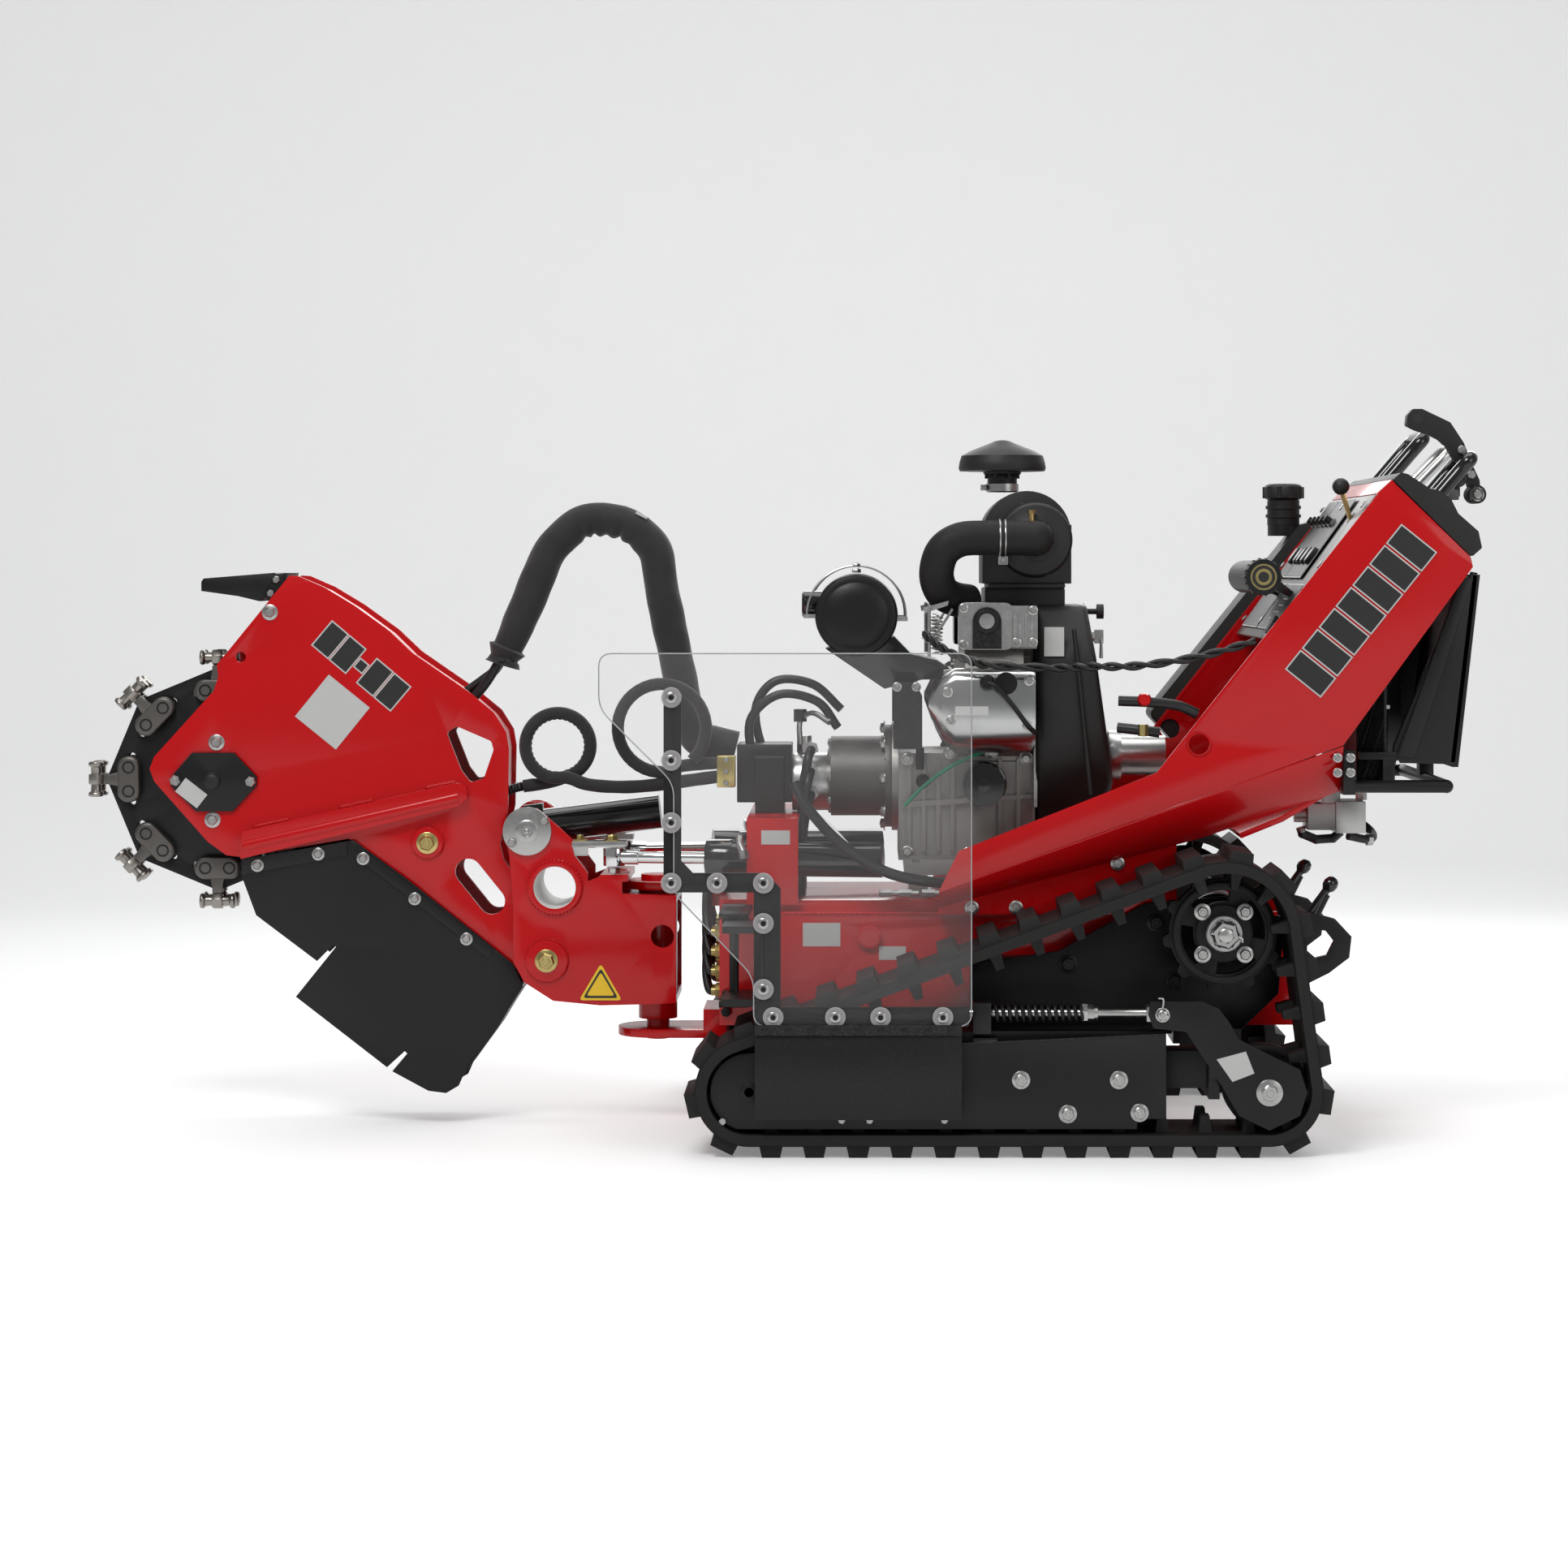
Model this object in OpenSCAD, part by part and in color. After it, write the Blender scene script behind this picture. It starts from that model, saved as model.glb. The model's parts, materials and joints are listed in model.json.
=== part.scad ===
/* [Overall] */

// Width over the outer faces of both rubber tracks, mm
machine_width = 890; // [860:5:940]

// Width of one rubber track, mm
belt_width = 180; // [160:5:185]

/* [Tracks] */

// Height of the idler axles above the ground, mm
idler_z = 108; // [108:1:112]

// Distance from the machine origin forward to the front idler axle, mm
front_idler_dx = 428; // [420:1:432]

// Distance from the machine origin back to the rear idler axle, mm
rear_idler_dx = 427; // [424:1:432]

// Height of the drive sprocket axle above the ground, mm
sprocket_z = 364; // [360:1:370]

// Number of drive lugs round one belt
belt_lugs = 35; // [34:1:36]

// Depth of the ground tread bars, mm
tread_depth = 18; // [12:1:18]

/* [Cutter] */

// Half the distance across the flats of the cutter disc, mm
disc_apothem = 182; // [176:1:184]

// Thickness of the cutter disc, mm
disc_thickness = 25; // [20:1:28]

// Number of cutting tooth stations
tooth_stations = 8; // [4, 6, 8]

// Radius of the cutter disc shaft, mm
cutter_shaft_r = 25; // [22:1:26]

/* [Boom] */

// Radius of the boom lift pivot pin, mm
lift_pin_r = 20; // [16:1:22]

// Radius of the lift cylinder barrel, mm
lift_barrel_r = 30; // [28:1:31]

// Radius of the upright swing pin, mm
king_pin_r = 20; // [18:1:22]

/* [Engine] */

// Radius of the muffler body, mm
muffler_r = 68; // [60:1:70]

// Radius of the air cleaner canister cover, mm
air_cover_r = 64; // [58:1:66]

/* [Operator station] */

// Half the width of the control tower, mm
tower_half = 300; // [294:1:302]

// Radius of the handle tubes, mm
handle_r = 11; // [9:0.5:12]

/* [Hidden] */

// colours of the finishes
RED = [0.72, 0.02, 0.02];
BLACK = [0.03, 0.03, 0.03];
RUBBER = [0.05, 0.05, 0.05];
STEEL = [0.72, 0.72, 0.70];
ZINC = [0.75, 0.75, 0.72];
CAST = [0.55, 0.55, 0.53];

// running clearance between a pin and its bore
RUN = 0.05;
// smoothness of visible round parts
$fn = 48;

// rest positions in the side plane, [x, z]
IDLER_R = 70;
SPROCKET_R = 104;
BELT_THICK = 20;
FRONT_IDLER = [-front_idler_dx, idler_z];
REAR_IDLER = [rear_idler_dx, idler_z];
SPROCKET = [358, sprocket_z];
TRACK_Y = machine_width / 2 - belt_width / 2;
BELT_OUT = machine_width / 2;
BELT_IN = BELT_OUT - belt_width;
CUTTER = [-1376, 599];
LIFT_PIVOT = [-791, 288];
TRUNNION = [-825, 513];
ROD_PIN = [-1001, 491];
KING_X = -603;
SWING_PIN = [-674, 92];
SWING_TRUNNION = [-396, 135];
SWING_Z = 468;

// direction and length of the lift cylinder at rest
LIFT_VEC = TRUNNION - ROD_PIN;
LIFT_LEN = norm(LIFT_VEC);
LIFT_TILT = atan2(LIFT_VEC[1], LIFT_VEC[0]);
// direction and length of a swing cylinder at rest, seen from above
SWING_VEC = SWING_TRUNNION - SWING_PIN;
SWING_LEN = norm(SWING_VEC);
SWING_TURN = atan2(SWING_VEC[1], SWING_VEC[0]);

// box between two corners
module slab(x0, x1, y0, y1, z0, z1) {
    translate([x0, y0, z0])
        cube([x1 - x0, y1 - y0, z1 - z0]);
}

// cylinder lying along y
module ycyl(p, y0, y1, r) {
    translate([p[0], y0, p[1]])
        rotate([-90, 0, 0])
            cylinder(h = y1 - y0, r = r);
}

// cylinder lying along x, centre [y, z]
module xcyl(c, x0, x1, r) {
    translate([x0, c[0], c[1]])
        rotate([0, 90, 0])
            cylinder(h = x1 - x0, r = r);
}

// upright cylinder, centre [x, y]
module zcyl(c, z0, z1, r) {
    translate([c[0], c[1], z0])
        cylinder(h = z1 - z0, r = r);
}

// side-view outline given thickness along y
module yplate(pts, y0, y1) {
    translate([0, y1, 0])
        rotate([90, 0, 0])
            linear_extrude(y1 - y0)
                polygon(pts);
}

// side-view outline with its corners rounded
module yround(pts, y0, y1, r) {
    translate([0, y1, 0])
        rotate([90, 0, 0])
            linear_extrude(y1 - y0)
                offset(r = r, $fn = 24)
                    offset(delta = -r)
                        polygon(pts);
}

// round rod between two points
module rod(a, b, r) {
    d = b - a;
    translate(a)
        rotate([0, acos(d[2] / norm(d)), atan2(d[1], d[0])])
            cylinder(h = norm(d), r = r);
}

// tube through a list of points, a slightly larger ball at every bend
module tube_path(pts, r) {
    for (i = [0:len(pts) - 2])
        rod(pts[i], pts[i + 1], r);
    for (i = [1:len(pts) - 2])
        translate(pts[i])
            sphere(r = 1.05 * r);
}

// the same with coarser balls
module rod_chain(pts, r) {
    for (i = [0:len(pts) - 2])
        rod(pts[i], pts[i + 1], r);
    for (i = [1:len(pts) - 2])
        translate(pts[i])
            sphere(r = 1.05 * r, $fn = 24);
}

// copy of the children on the other side of the machine
module both_sides() {
    children();
    mirror([0, 1, 0])
        children();
}

// children on the left (-1) or the right (1)
module on_side(s) {
    if (s < 0)
        children();
    else
        mirror([0, 1, 0])
            children();
}

// hexagon bolt head lying along y, facing -y
module ybolt(p, y, r, h) {
    translate([p[0], y, p[1]])
        rotate([90, 0, 0])
            cylinder(h = h, r = r, $fn = 6);
}

// ---- tracks ----

// unit vector at angle a in the side plane
function dir(a) = [cos(a), sin(a)];
// angle of the outward normal of the straight run between two wheels
function run_normal(c0, r0, c1, r1) =
    atan2(c1[1] - c0[1], c1[0] - c0[0]) - acos((r0 - r1) / norm(c1 - c0));

// outward normals of the bottom run, the rear run and the top run
N0 = -90;
N1 = run_normal(REAR_IDLER, IDLER_R, SPROCKET, SPROCKET_R);
N2 = run_normal(SPROCKET, SPROCKET_R, FRONT_IDLER, IDLER_R) + 360;
N3 = 270;
// depth inside the belt at which the drive lug spacing is measured
PITCH_T = 10;
L0 = rear_idler_dx + front_idler_dx;
A0 = (N1 - N0) * PI / 180 * (IDLER_R + PITCH_T);
L1 = norm(REAR_IDLER + IDLER_R * dir(N1) - SPROCKET - SPROCKET_R * dir(N1));
A1 = (N2 - N1) * PI / 180 * (SPROCKET_R + PITCH_T);
L2 = norm(SPROCKET + SPROCKET_R * dir(N2) - FRONT_IDLER - IDLER_R * dir(N2));
A2 = (N3 - N2) * PI / 180 * (IDLER_R + PITCH_T);
BELT_LEN = L0 + A0 + L1 + A1 + L2 + A2;
LUG_PITCH = BELT_LEN / belt_lugs;

// point on a straight run: from the end of wheel c0 along its normal n
function on_run(c, r, n, s, t) = c + (r + t) * dir(n) + s * dir(n + 90);
// point on the belt path, s along it and t out from its inner face
function belt_pt(s, t) =
    s < L0 ? on_run(FRONT_IDLER, IDLER_R, N0, s, t) :
    s < L0 + A0 ? REAR_IDLER + (IDLER_R + t) * dir(N0 + (s - L0) / A0 * (N1 - N0)) :
    s < L0 + A0 + L1 ? on_run(REAR_IDLER, IDLER_R, N1, s - L0 - A0, t) :
    s < L0 + A0 + L1 + A1 ? SPROCKET + (SPROCKET_R + t) *
        dir(N1 + (s - L0 - A0 - L1) / A1 * (N2 - N1)) :
    s < L0 + A0 + L1 + A1 + L2 ?
        on_run(SPROCKET, SPROCKET_R, N2, s - L0 - A0 - L1 - A1, t) :
    FRONT_IDLER + (IDLER_R + t) *
        dir(N2 + (s - L0 - A0 - L1 - A1 - L2) / A2 * (N3 - N2));
function wrap(s) = s < 0 ? s + BELT_LEN : s >= BELT_LEN ? s - BELT_LEN : s;

// filled outline of the three wheels grown by t
module belt_loop(t) {
    hull() {
        translate(FRONT_IDLER)
            circle(r = IDLER_R + t, $fn = 72);
        translate(REAR_IDLER)
            circle(r = IDLER_R + t, $fn = 72);
        translate(SPROCKET)
            circle(r = SPROCKET_R + t, $fn = 72);
    }
}

// one raised bar of the belt, from depth t0 to depth t1
module belt_bar(k, w0, w1, t0, t1) {
    s = (k + 0.5) * LUG_PITCH;
    polygon([belt_pt(wrap(s - w0), t0), belt_pt(wrap(s - w1), t1),
        belt_pt(wrap(s + w1), t1), belt_pt(wrap(s + w0), t0)]);
}

module xz_extrude(y0, y1) {
    translate([0, y1, 0])
        rotate([90, 0, 0])
            linear_extrude(y1 - y0)
                children();
}

LUG_NEAR = 28;
LUG_FAR = 58;

module belt() {
    xz_extrude(-BELT_OUT + 8, -BELT_IN - 8)
        difference() {
            union() {
                belt_loop(BELT_THICK);
                for (k = [0:belt_lugs - 1])
                    belt_bar(k, 20, 15, BELT_THICK - 4, BELT_THICK + tread_depth);
            }
            belt_loop(0);
        }
    xz_extrude(-BELT_OUT, -BELT_IN)
        difference() {
            belt_loop(BELT_THICK - 3);
            belt_loop(0);
        }
    for (dy = [-LUG_FAR, LUG_NEAR])
        xz_extrude(-TRACK_Y + dy, -TRACK_Y + dy + LUG_FAR - LUG_NEAR)
            for (k = [0:belt_lugs - 1])
                belt_bar(k, 11, 7, 1, -28);
}

module track_belts() {
    color(RUBBER)
        both_sides()
            belt();
}

// half widths and radii of the wheels between the two lug rows
WHEEL_HALF = 24;
HUB_HALF = 60;
AXLE_R = 16;
TOOTH_COUNT = 10;

module idler(c) {
    color(BLACK)
        difference() {
            union() {
                ycyl(c, -TRACK_Y - WHEEL_HALF, -TRACK_Y + WHEEL_HALF, IDLER_R - 0.5, $fn = 96);
                ycyl(c, -TRACK_Y - HUB_HALF, -TRACK_Y + HUB_HALF, 27);
            }
            ycyl(c, -TRACK_Y - HUB_HALF - 1, -TRACK_Y + HUB_HALF + 1, AXLE_R + RUN);
            for (sy = [-1, 1])
                translate([c[0], -TRACK_Y + sy * (WHEEL_HALF + 1), c[1]])
                    rotate([sy * 90, 0, 0])
                        difference() {
                            cylinder(h = 11, r = 60);
                            translate([0, 0, -1])
                                cylinder(h = 13, r = 34);
                        }
        }
}

module front_idler_left() {
    idler(FRONT_IDLER);
}

module front_idler_right() {
    on_side(1)
        idler(FRONT_IDLER);
}

module rear_idler_left() {
    idler(REAR_IDLER);
}

module rear_idler_right() {
    on_side(1)
        idler(REAR_IDLER);
}

// drive sprocket: toothed ring, web with four openings, hub on the motor shaft
SHAFT_R = 20;
module sprocket() {
    y = -TRACK_Y;
    color(BLACK)
        difference() {
            union() {
                xz_extrude(y - 13, y + 13)
                    translate(SPROCKET) {
                        circle(r = 90, $fn = 72);
                        for (k = [0:TOOTH_COUNT - 1])
                            rotate(k * 360 / TOOTH_COUNT + 9)
                                polygon([[80, -16], [98, -9], [101, -6], [101, 6], [98, 9], [80, 16]]);
                    }
                ycyl(SPROCKET, y - 24, y + 24, 84);
                ycyl(SPROCKET, y - 36, y + 36, 30);
            }
            for (sy = [-1, 1])
                translate([SPROCKET[0], y + sy * 25, SPROCKET[1]])
                    rotate([sy * 90, 0, 0])
                        difference() {
                            cylinder(h = 13, r = 74);
                            translate([0, 0, -1])
                                cylinder(h = 15, r = 46);
                        }
            ycyl(SPROCKET, y - 50, y + 50, SHAFT_R + RUN);
            xz_extrude(y - 30, y + 30)
                translate(SPROCKET)
                    for (k = [0:3])
                        rotate(k * 90 + 20)
                            intersection() {
                                difference() {
                                    circle(r = 70);
                                    circle(r = 50);
                                }
                                polygon([[0, 0], [90, -52], [90, 52]]);
                            }
        }
}

module sprocket_left() {
    sprocket();
}

module sprocket_right() {
    on_side(1)
        sprocket();
}

// levels of the track beam and its side plates
PLATE_Y = BELT_OUT - 9;
PLATE_T = 6;
BEAM_OUT = TRACK_Y + 45;
BEAM_IN = TRACK_Y - 45;
BEAM_X0 = -350;
BEAM_X1 = 258;
BEAM_Z0 = 76;
BEAM_Z1 = 204;
SLIDER_Z0 = 108;
SLIDER_Z1 = 170;
ROD_Z = 236;
ROD_Y = TRACK_Y + 62;
TENSION_PIN = [251, ROD_Z];

module track_frame() {
    difference() {
        union() {
            // low nose of the beam, clear of the drive lugs
            slab(BEAM_X0, -275, -BEAM_OUT, -BEAM_IN, BEAM_Z0, 174);
            slab(-276, BEAM_X1, -BEAM_OUT, -BEAM_IN, BEAM_Z0, BEAM_Z1);
        }
        slab(90, BEAM_X1 + 1, -BEAM_OUT + 8, -BEAM_IN - 8, SLIDER_Z0 - 2, SLIDER_Z1 + 2);
    }
    // slide rail under the beam, between the drive lugs
    slab(-330, 250, -TRACK_Y - 22, -TRACK_Y + 22, idler_z - IDLER_R + 1, BEAM_Z0 + 1);
    // outer cover plate, rounded over the front idler
    difference() {
        union() {
            yplate([[-428, 44], [210, 44], [210, 64], [BEAM_X1, 64], [BEAM_X1, 204],
                [-428, 172]], -PLATE_Y, -PLATE_Y + PLATE_T);
            ycyl(FRONT_IDLER, -PLATE_Y, -PLATE_Y + PLATE_T, 64);
        }
        slab(-600, 600, -PLATE_Y - 1, -PLATE_Y + PLATE_T + 1, 0, 47);
    }
    // inner plate of the front idler
    slab(-470, BEAM_X0 + 60, -BELT_IN - PLATE_T - 4, -BELT_IN - 4, 80, 160);
    // spacers between beam and plates
    for (x = [-60, 200])
        slab(x, x + 40, -PLATE_Y + PLATE_T - 1, -BEAM_OUT + 1, 84, 196);
    slab(-340, -300, -PLATE_Y + PLATE_T - 1, -BEAM_OUT + 1, 84, 166);
    slab(-340, -300, -BEAM_IN - 1, -BELT_IN - 5, 84, 158);
    ycyl(FRONT_IDLER, -PLATE_Y + 1, -BELT_IN - 5, AXLE_R);
    // cross beams to the hull
    for (x = [-260, 120])
        slab(x, x + 70, -BEAM_IN - 1, -HULL_HALF, 100, 190);
    // inner drive plate carrying the travel motor
    difference() {
        yplate([[-60, 190], [-60, 300], [90, 322], [235, 402], [430, 420], [470, 350], [462, 250],
            [400, 190]], -BELT_IN + 3, -BELT_IN + 9);
        ycyl(SPROCKET, -BELT_IN + 2, -BELT_IN + 10, 40);
    }
    slab(-60, 200, -BELT_IN + 8, -HULL_HALF, 290, 310);
    slab(120, 190, -BELT_IN + 8, -HULL_HALF, 185, 215);
    // front anchor of the tension rod
    difference() {
        slab(-60, -30, -ROD_Y - 16, -BEAM_OUT + 4, BEAM_Z1 - 1, ROD_Z + 18);
        xcyl([-ROD_Y, ROD_Z], -70, -20, 9);
    }
}

module track_frames() {
    color(BLACK)
        both_sides()
            track_frame();
    // lugs and pin of the shield hinge
    color(BLACK) {
        for (z = [236, 384])
            slab(-482, -432, SHIELD_PIN[1] - 18, -170, z, z + 10);
        zcyl(SHIELD_PIN, 237, 393, 8);
    }
}

// fork that carries the rear idler, pushed back by the tension rod
module carriage() {
    color(BLACK)
        difference() {
            union() {
                slab(130, 346, -BEAM_OUT + 10, -BEAM_IN - 10, SLIDER_Z0, SLIDER_Z1);
                slab(328, 346, -PLATE_Y + 1, -BELT_IN - 5, 96, 186);
                yplate([[232, 258], [316, 258], [344, 246], [362, 222], [376, 196],
                    [REAR_IDLER[0], idler_z + 62], [REAR_IDLER[0] + 50, idler_z + 38],
                    [REAR_IDLER[0] + 62, idler_z], [REAR_IDLER[0] + 50, idler_z - 38],
                    [REAR_IDLER[0], idler_z - 62], [REAR_IDLER[0] - 50, idler_z - 38],
                    [348, 120], [290, 208], [236, 214], [228, 236]], -PLATE_Y - 8, -PLATE_Y - 0.5);
                slab(328, 346, -PLATE_Y - 4, -PLATE_Y + 4, 130, 186);
                slab(340, REAR_IDLER[0] + 26, -BELT_IN - 10, -BELT_IN - 4, 84, 132);
                ycyl(REAR_IDLER, -PLATE_Y - 1, -BELT_IN - 5, AXLE_R);
            }
            ycyl(TENSION_PIN, -BELT_OUT - 5, -PLATE_Y + 10, 6);
        }
    color(ZINC) {
        xcyl([-ROD_Y, ROD_Z], -90, 232, 7);
        xcyl([-ROD_Y, ROD_Z], 129, 140, 15, $fn = 6);
        difference() {
            slab(226, 268, -PLATE_Y - 0.5, -ROD_Y + 12, ROD_Z - 12, ROD_Z + 12);
            ycyl(TENSION_PIN, -BELT_OUT - 5, -ROD_Y + 20, 6);
        }
        ycyl(TENSION_PIN, -BELT_OUT + 0.5, -ROD_Y + 12, 6);
        ycyl(TENSION_PIN, -BELT_OUT - 3, -PLATE_Y - 8, 10, $fn = 6);
    }
}

module idler_carriage_left() {
    carriage();
}

module idler_carriage_right() {
    on_side(1)
        carriage();
}

// tension spring: coil envelope with a ribbed outside
SPRING_X0 = -29.5;
SPRING_X1 = 128.5;
COILS = 14;
module tension_spring() {
    pitch = (SPRING_X1 - SPRING_X0) / COILS;
    color(BLACK)
        translate([SPRING_X0, -ROD_Y, ROD_Z])
            rotate([0, 90, 0])
                rotate_extrude($fn = 36)
                    polygon(concat([[8.5, 0]],
                        [for (i = [0:2 * COILS]) [i % 2 == 0 ? 12 : 15.5, i * pitch / 2]],
                        [[8.5, SPRING_X1 - SPRING_X0]]));
}

module tension_spring_left() {
    tension_spring();
}

module tension_spring_right() {
    on_side(1)
        tension_spring();
}

// ---- chassis and tower ----

HULL_HALF = 205;
FORK_LOW = 150;
FORK_HIGH = 407;

module chassis_frame() {
    color(RED) {
        difference() {
            union() {
                slab(-384, 150, -HULL_HALF, HULL_HALF, 150, 383);
                slab(-384, -70, -HULL_HALF + 20, HULL_HALF - 20, 382, 401);
                slab(-488, -383, -170, 170, 185, 401);
                // rear beams under the tower
                both_sides()
                    slab(149, 500, -HULL_HALF, -HULL_HALF + 10, 190, 383);
                slab(490, 500, -HULL_HALF + 5, HULL_HALF - 5, 190, 383);
                // fork plates of the swing pin
                slab(-603, -480, -70, 70, FORK_LOW, FORK_LOW + 14);
                zcyl([KING_X, 0], FORK_LOW, FORK_LOW + 14, 70);
                slab(-520, -480, -70, 70, FORK_LOW, 200);
                slab(-603, -480, -60, 60, FORK_HIGH, FORK_HIGH + 14);
                zcyl([KING_X, 0], FORK_HIGH, FORK_HIGH + 14, 60);
                slab(-510, -480, -60, 60, 380, FORK_HIGH + 14);
                // swing cylinder brackets
                both_sides() {
                    slab(-440, -352, -205, -199, 395, 540);
                    slab(-440, -352, -205, 1, 536, 542);
                    slab(-440, -352, -205, -60, 395, 402);
                }
            }
            // clearance of the travel motors and recess of the sight glass
            both_sides()
                ycyl(SPROCKET, -HULL_HALF - 1, -HULL_HALF + 12, 58);
            ycyl([-230, 340], -HULL_HALF - 1, -HULL_HALF + 8, 14);
            both_sides()
                zcyl([SWING_TRUNNION[0], -SWING_TRUNNION[1]], 394, 543, 12 + RUN);
            zcyl([KING_X, 0], FORK_LOW - 1, FORK_LOW + 30, king_pin_r);
            zcyl([KING_X, 0], FORK_HIGH - 1, FORK_HIGH + 30, king_pin_r);
        }
        zcyl([KING_X, 0], FORK_LOW - 8, FORK_HIGH + 24, king_pin_r);
        zcyl([KING_X, 0], FORK_HIGH + 14, FORK_HIGH + 24, king_pin_r + 10);
    }
}

// outline of one tower side
TOWER_SIDE = [[-80, 494], [253, 626], [624, 1094], [649, 1117], [781, 989], [785, 972], [567, 672],
    [-113, 427]];
// depth of the wing where it stands beside the hull
WING_IN = 256;
TOWER_T = 5;

module tower_frame() {
    color(RED)
        both_sides() {
            difference() {
                yplate(TOWER_SIDE, -tower_half, -tower_half + TOWER_T);
                ycyl([324, 674], -tower_half - 1, -tower_half + TOWER_T + 1, 18);
            }
            // lower wing, folded inward below the crease
            hull() {
                yplate([[-113, 427], [567, 670], [567, 666], [-113, 423]],
                    -tower_half, -tower_half + TOWER_T);
                yplate([[-113, 400], [567, 597], [567, 592], [330, 512], [-113, 395]],
                    -WING_IN, -WING_IN + TOWER_T);
            }
            yplate([[-113, 399], [290, 504], [290, 402], [226, 385], [-113, 385]],
                -WING_IN, -WING_IN + TOWER_T);
            // foot joining the wing to the hull
            slab(-113, 190, -WING_IN + 1, -HULL_HALF, 383, 390);
        }
    color(RED) {
        // top sheet and rear sheet between the sides
        yplate([[626, 1092], [624, 1096], [649, 1119], [654, 1112], [649, 1108]],
            -tower_half + 2, tower_half - 2);
        yplate([[653, 1112], [776, 992], [772, 986], [648, 1107]], -tower_half + 2, tower_half - 2);
        yplate([[400, 512], [470, 540], [566, 597], [560, 605], [466, 549], [396, 521]],
            -WING_IN + 2, WING_IN - 2);
    }
}

module control_panel() {
    color(CAST)
        difference() {
            yplate([[447, 850], [622, 1094], [626, 1091], [451, 846]],
                -tower_half + TOWER_T, tower_half - TOWER_T);
            translate([596, -180, 1055])
                rotate([0, 54, 0])
                    cube([70, 16, 20], center = true);
        }
}

module tower_end_cap() {
    color(BLACK)
        yround([[650, 1119], [664, 1131], [676, 1128], [712, 1104], [730, 1100], [748, 1086], [760, 1062],
            [794, 1032], [800, 1004], [783, 989]], -tower_half - 2, tower_half + 2, 4);
}

// fixed hand bars of the operator
CAP_DIR = [0.68, 0.73];
module u_bar(y0, y1, x, z, h) {
    a = [x, y0, z];
    b = [x + 0.62 * h, y0, z + 0.72 * h];
    c = [x + 0.62 * h, y1, z + 0.72 * h];
    tube_path([a, b, c, [x, y1, z]], handle_r);
}

module handle_bars() {
    color(BLACK)
        difference() {
            union() {
                u_bar(120, 250, 694, 1120, 112);
                u_bar(-250, -120, 736, 1094, 112);
            }
            yround([[650, 1119], [664, 1131], [676, 1128], [712, 1104], [730, 1100], [748, 1086],
                [760, 1062], [794, 1032], [800, 1004], [783, 989]], -310, 310, 4);
        }
}

COOLER_X = 598;
module oil_cooler() {
    color(BLACK)
        difference() {
            union() {
                slab(COOLER_X, COOLER_X + 46, -240, 240, 600, 860);
                slab(COOLER_X + 46, COOLER_X + 52, -180, 180, 620, 850);
                xcyl([0, 735], COOLER_X + 50, COOLER_X + 92, 122);
            }
            xcyl([0, 735], COOLER_X + 56, COOLER_X + 120, 114);
        }
    color(BLACK)
        xcyl([0, 735], COOLER_X + 50, COOLER_X + 66, 30);
}

module cooler_fan() {
    color(BLACK)
        difference() {
            union() {
                xcyl([0, 735], COOLER_X + 66.5, COOLER_X + 90, 32);
                for (k = [0:6])
                    translate([COOLER_X + 78, 0, 735])
                        rotate([k * 360 / 7, 0, 0])
                            translate([0, 0, 66])
                                rotate([0, 0, 28])
                                    cube([3, 34, 84], center = true);
            }
            xcyl([0, 735], COOLER_X + 60, COOLER_X + 80, 6);
        }
}

module cooler_guard() {
    color(BLACK) {
        both_sides() {
            yplate([[799, 962], [788, 964], [740, 860], [662, 652], [668, 640], [761, 638]], -262, -255);
            yplate([[795, 958], [780, 958], [772, 940], [659, 668], [659, 644], [676, 644],
                [682, 668]], -256, -234);
            slab(COOLER_X + 1, 664, -260, -241, 646, 658);
        }
        yplate([[794, 959], [804, 959], [767, 633], [757, 633]], -258, 258);
        // tubular bumper
        tube_path([[580, -252, 600], [748, -252, 600], [748, 252, 600], [580, 252, 600]], 11);
        both_sides() {
            slab(640, 660, -256, -244, 603, 652);
            slab(568, 588, -tower_half + 6, -243, 588, 662);
        }
        slab(738, 762, -20, 20, 603, 640);
    }
}

module rear_valve() {
    color(ZINC) {
        slab(588, 640, -40, 60, 505, 560);
        slab(540, 588, -30, 50, 510, 556);
        xcyl([10, 535], 520, 541, 14);
        slab(566.5, 598, -20, 40, 550, 600);
    }
    color(RUBBER)
        tube_path([[532, 20, 512], [536, 20, 500], [560, 20, 490], [590, 20, 492], [604, 20, 504]], 8);
}

module tie_down_hooks() {
    color(BLACK)
        both_sides() {
            difference() {
                yplate([[500, 250], [556, 278], [590, 304], [594, 340], [566, 370], [530, 380],
                    [500, 383]], -200, -184);
                yplate([[518, 300], [552, 308], [564, 332], [550, 350], [518, 354]], -201, -183);
            }
            rod([534, -192, 376], [552, -192, 412], 7);
        }
}

// ---- engine ----

module engine_block() {
    color(CAST) {
        difference() {
            slab(-180, 56, -125, 125, 465, 650);
            ycyl([-34, 598], -126, -112, 20);
        }
        xcyl([0, 604], -191, -180, 96);
        slab(-170, 40, -140, 140, 440, 466);
        // feet on the tank
        for (x = [-160, 0])
            slab(x, x + 30, -150, 150, 401, 441);
        slab(-70, 30, -150, 150, 383, 402);
        // cylinders, heads and rocker covers of the vee
        both_sides() {
            translate([-16, -56, 640])
                rotate([40, 0, 0]) {
                    translate([-60, -50, 0])
                        cube([116, 100, 190]);
                    translate([-52, -46, 188])
                        cube([100, 92, 60]);
                }
            slab(-77, 55, -226, -150, 833, 906);
        }
        slab(-62, 33, -60, 60, 645, 770);
        // carburettor block and the plate under the air cleaner
        slab(-28, 54, -104, 104, 765, 929);
        slab(-24, 108, -106, 106, 928, 936);
    }
}

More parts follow.
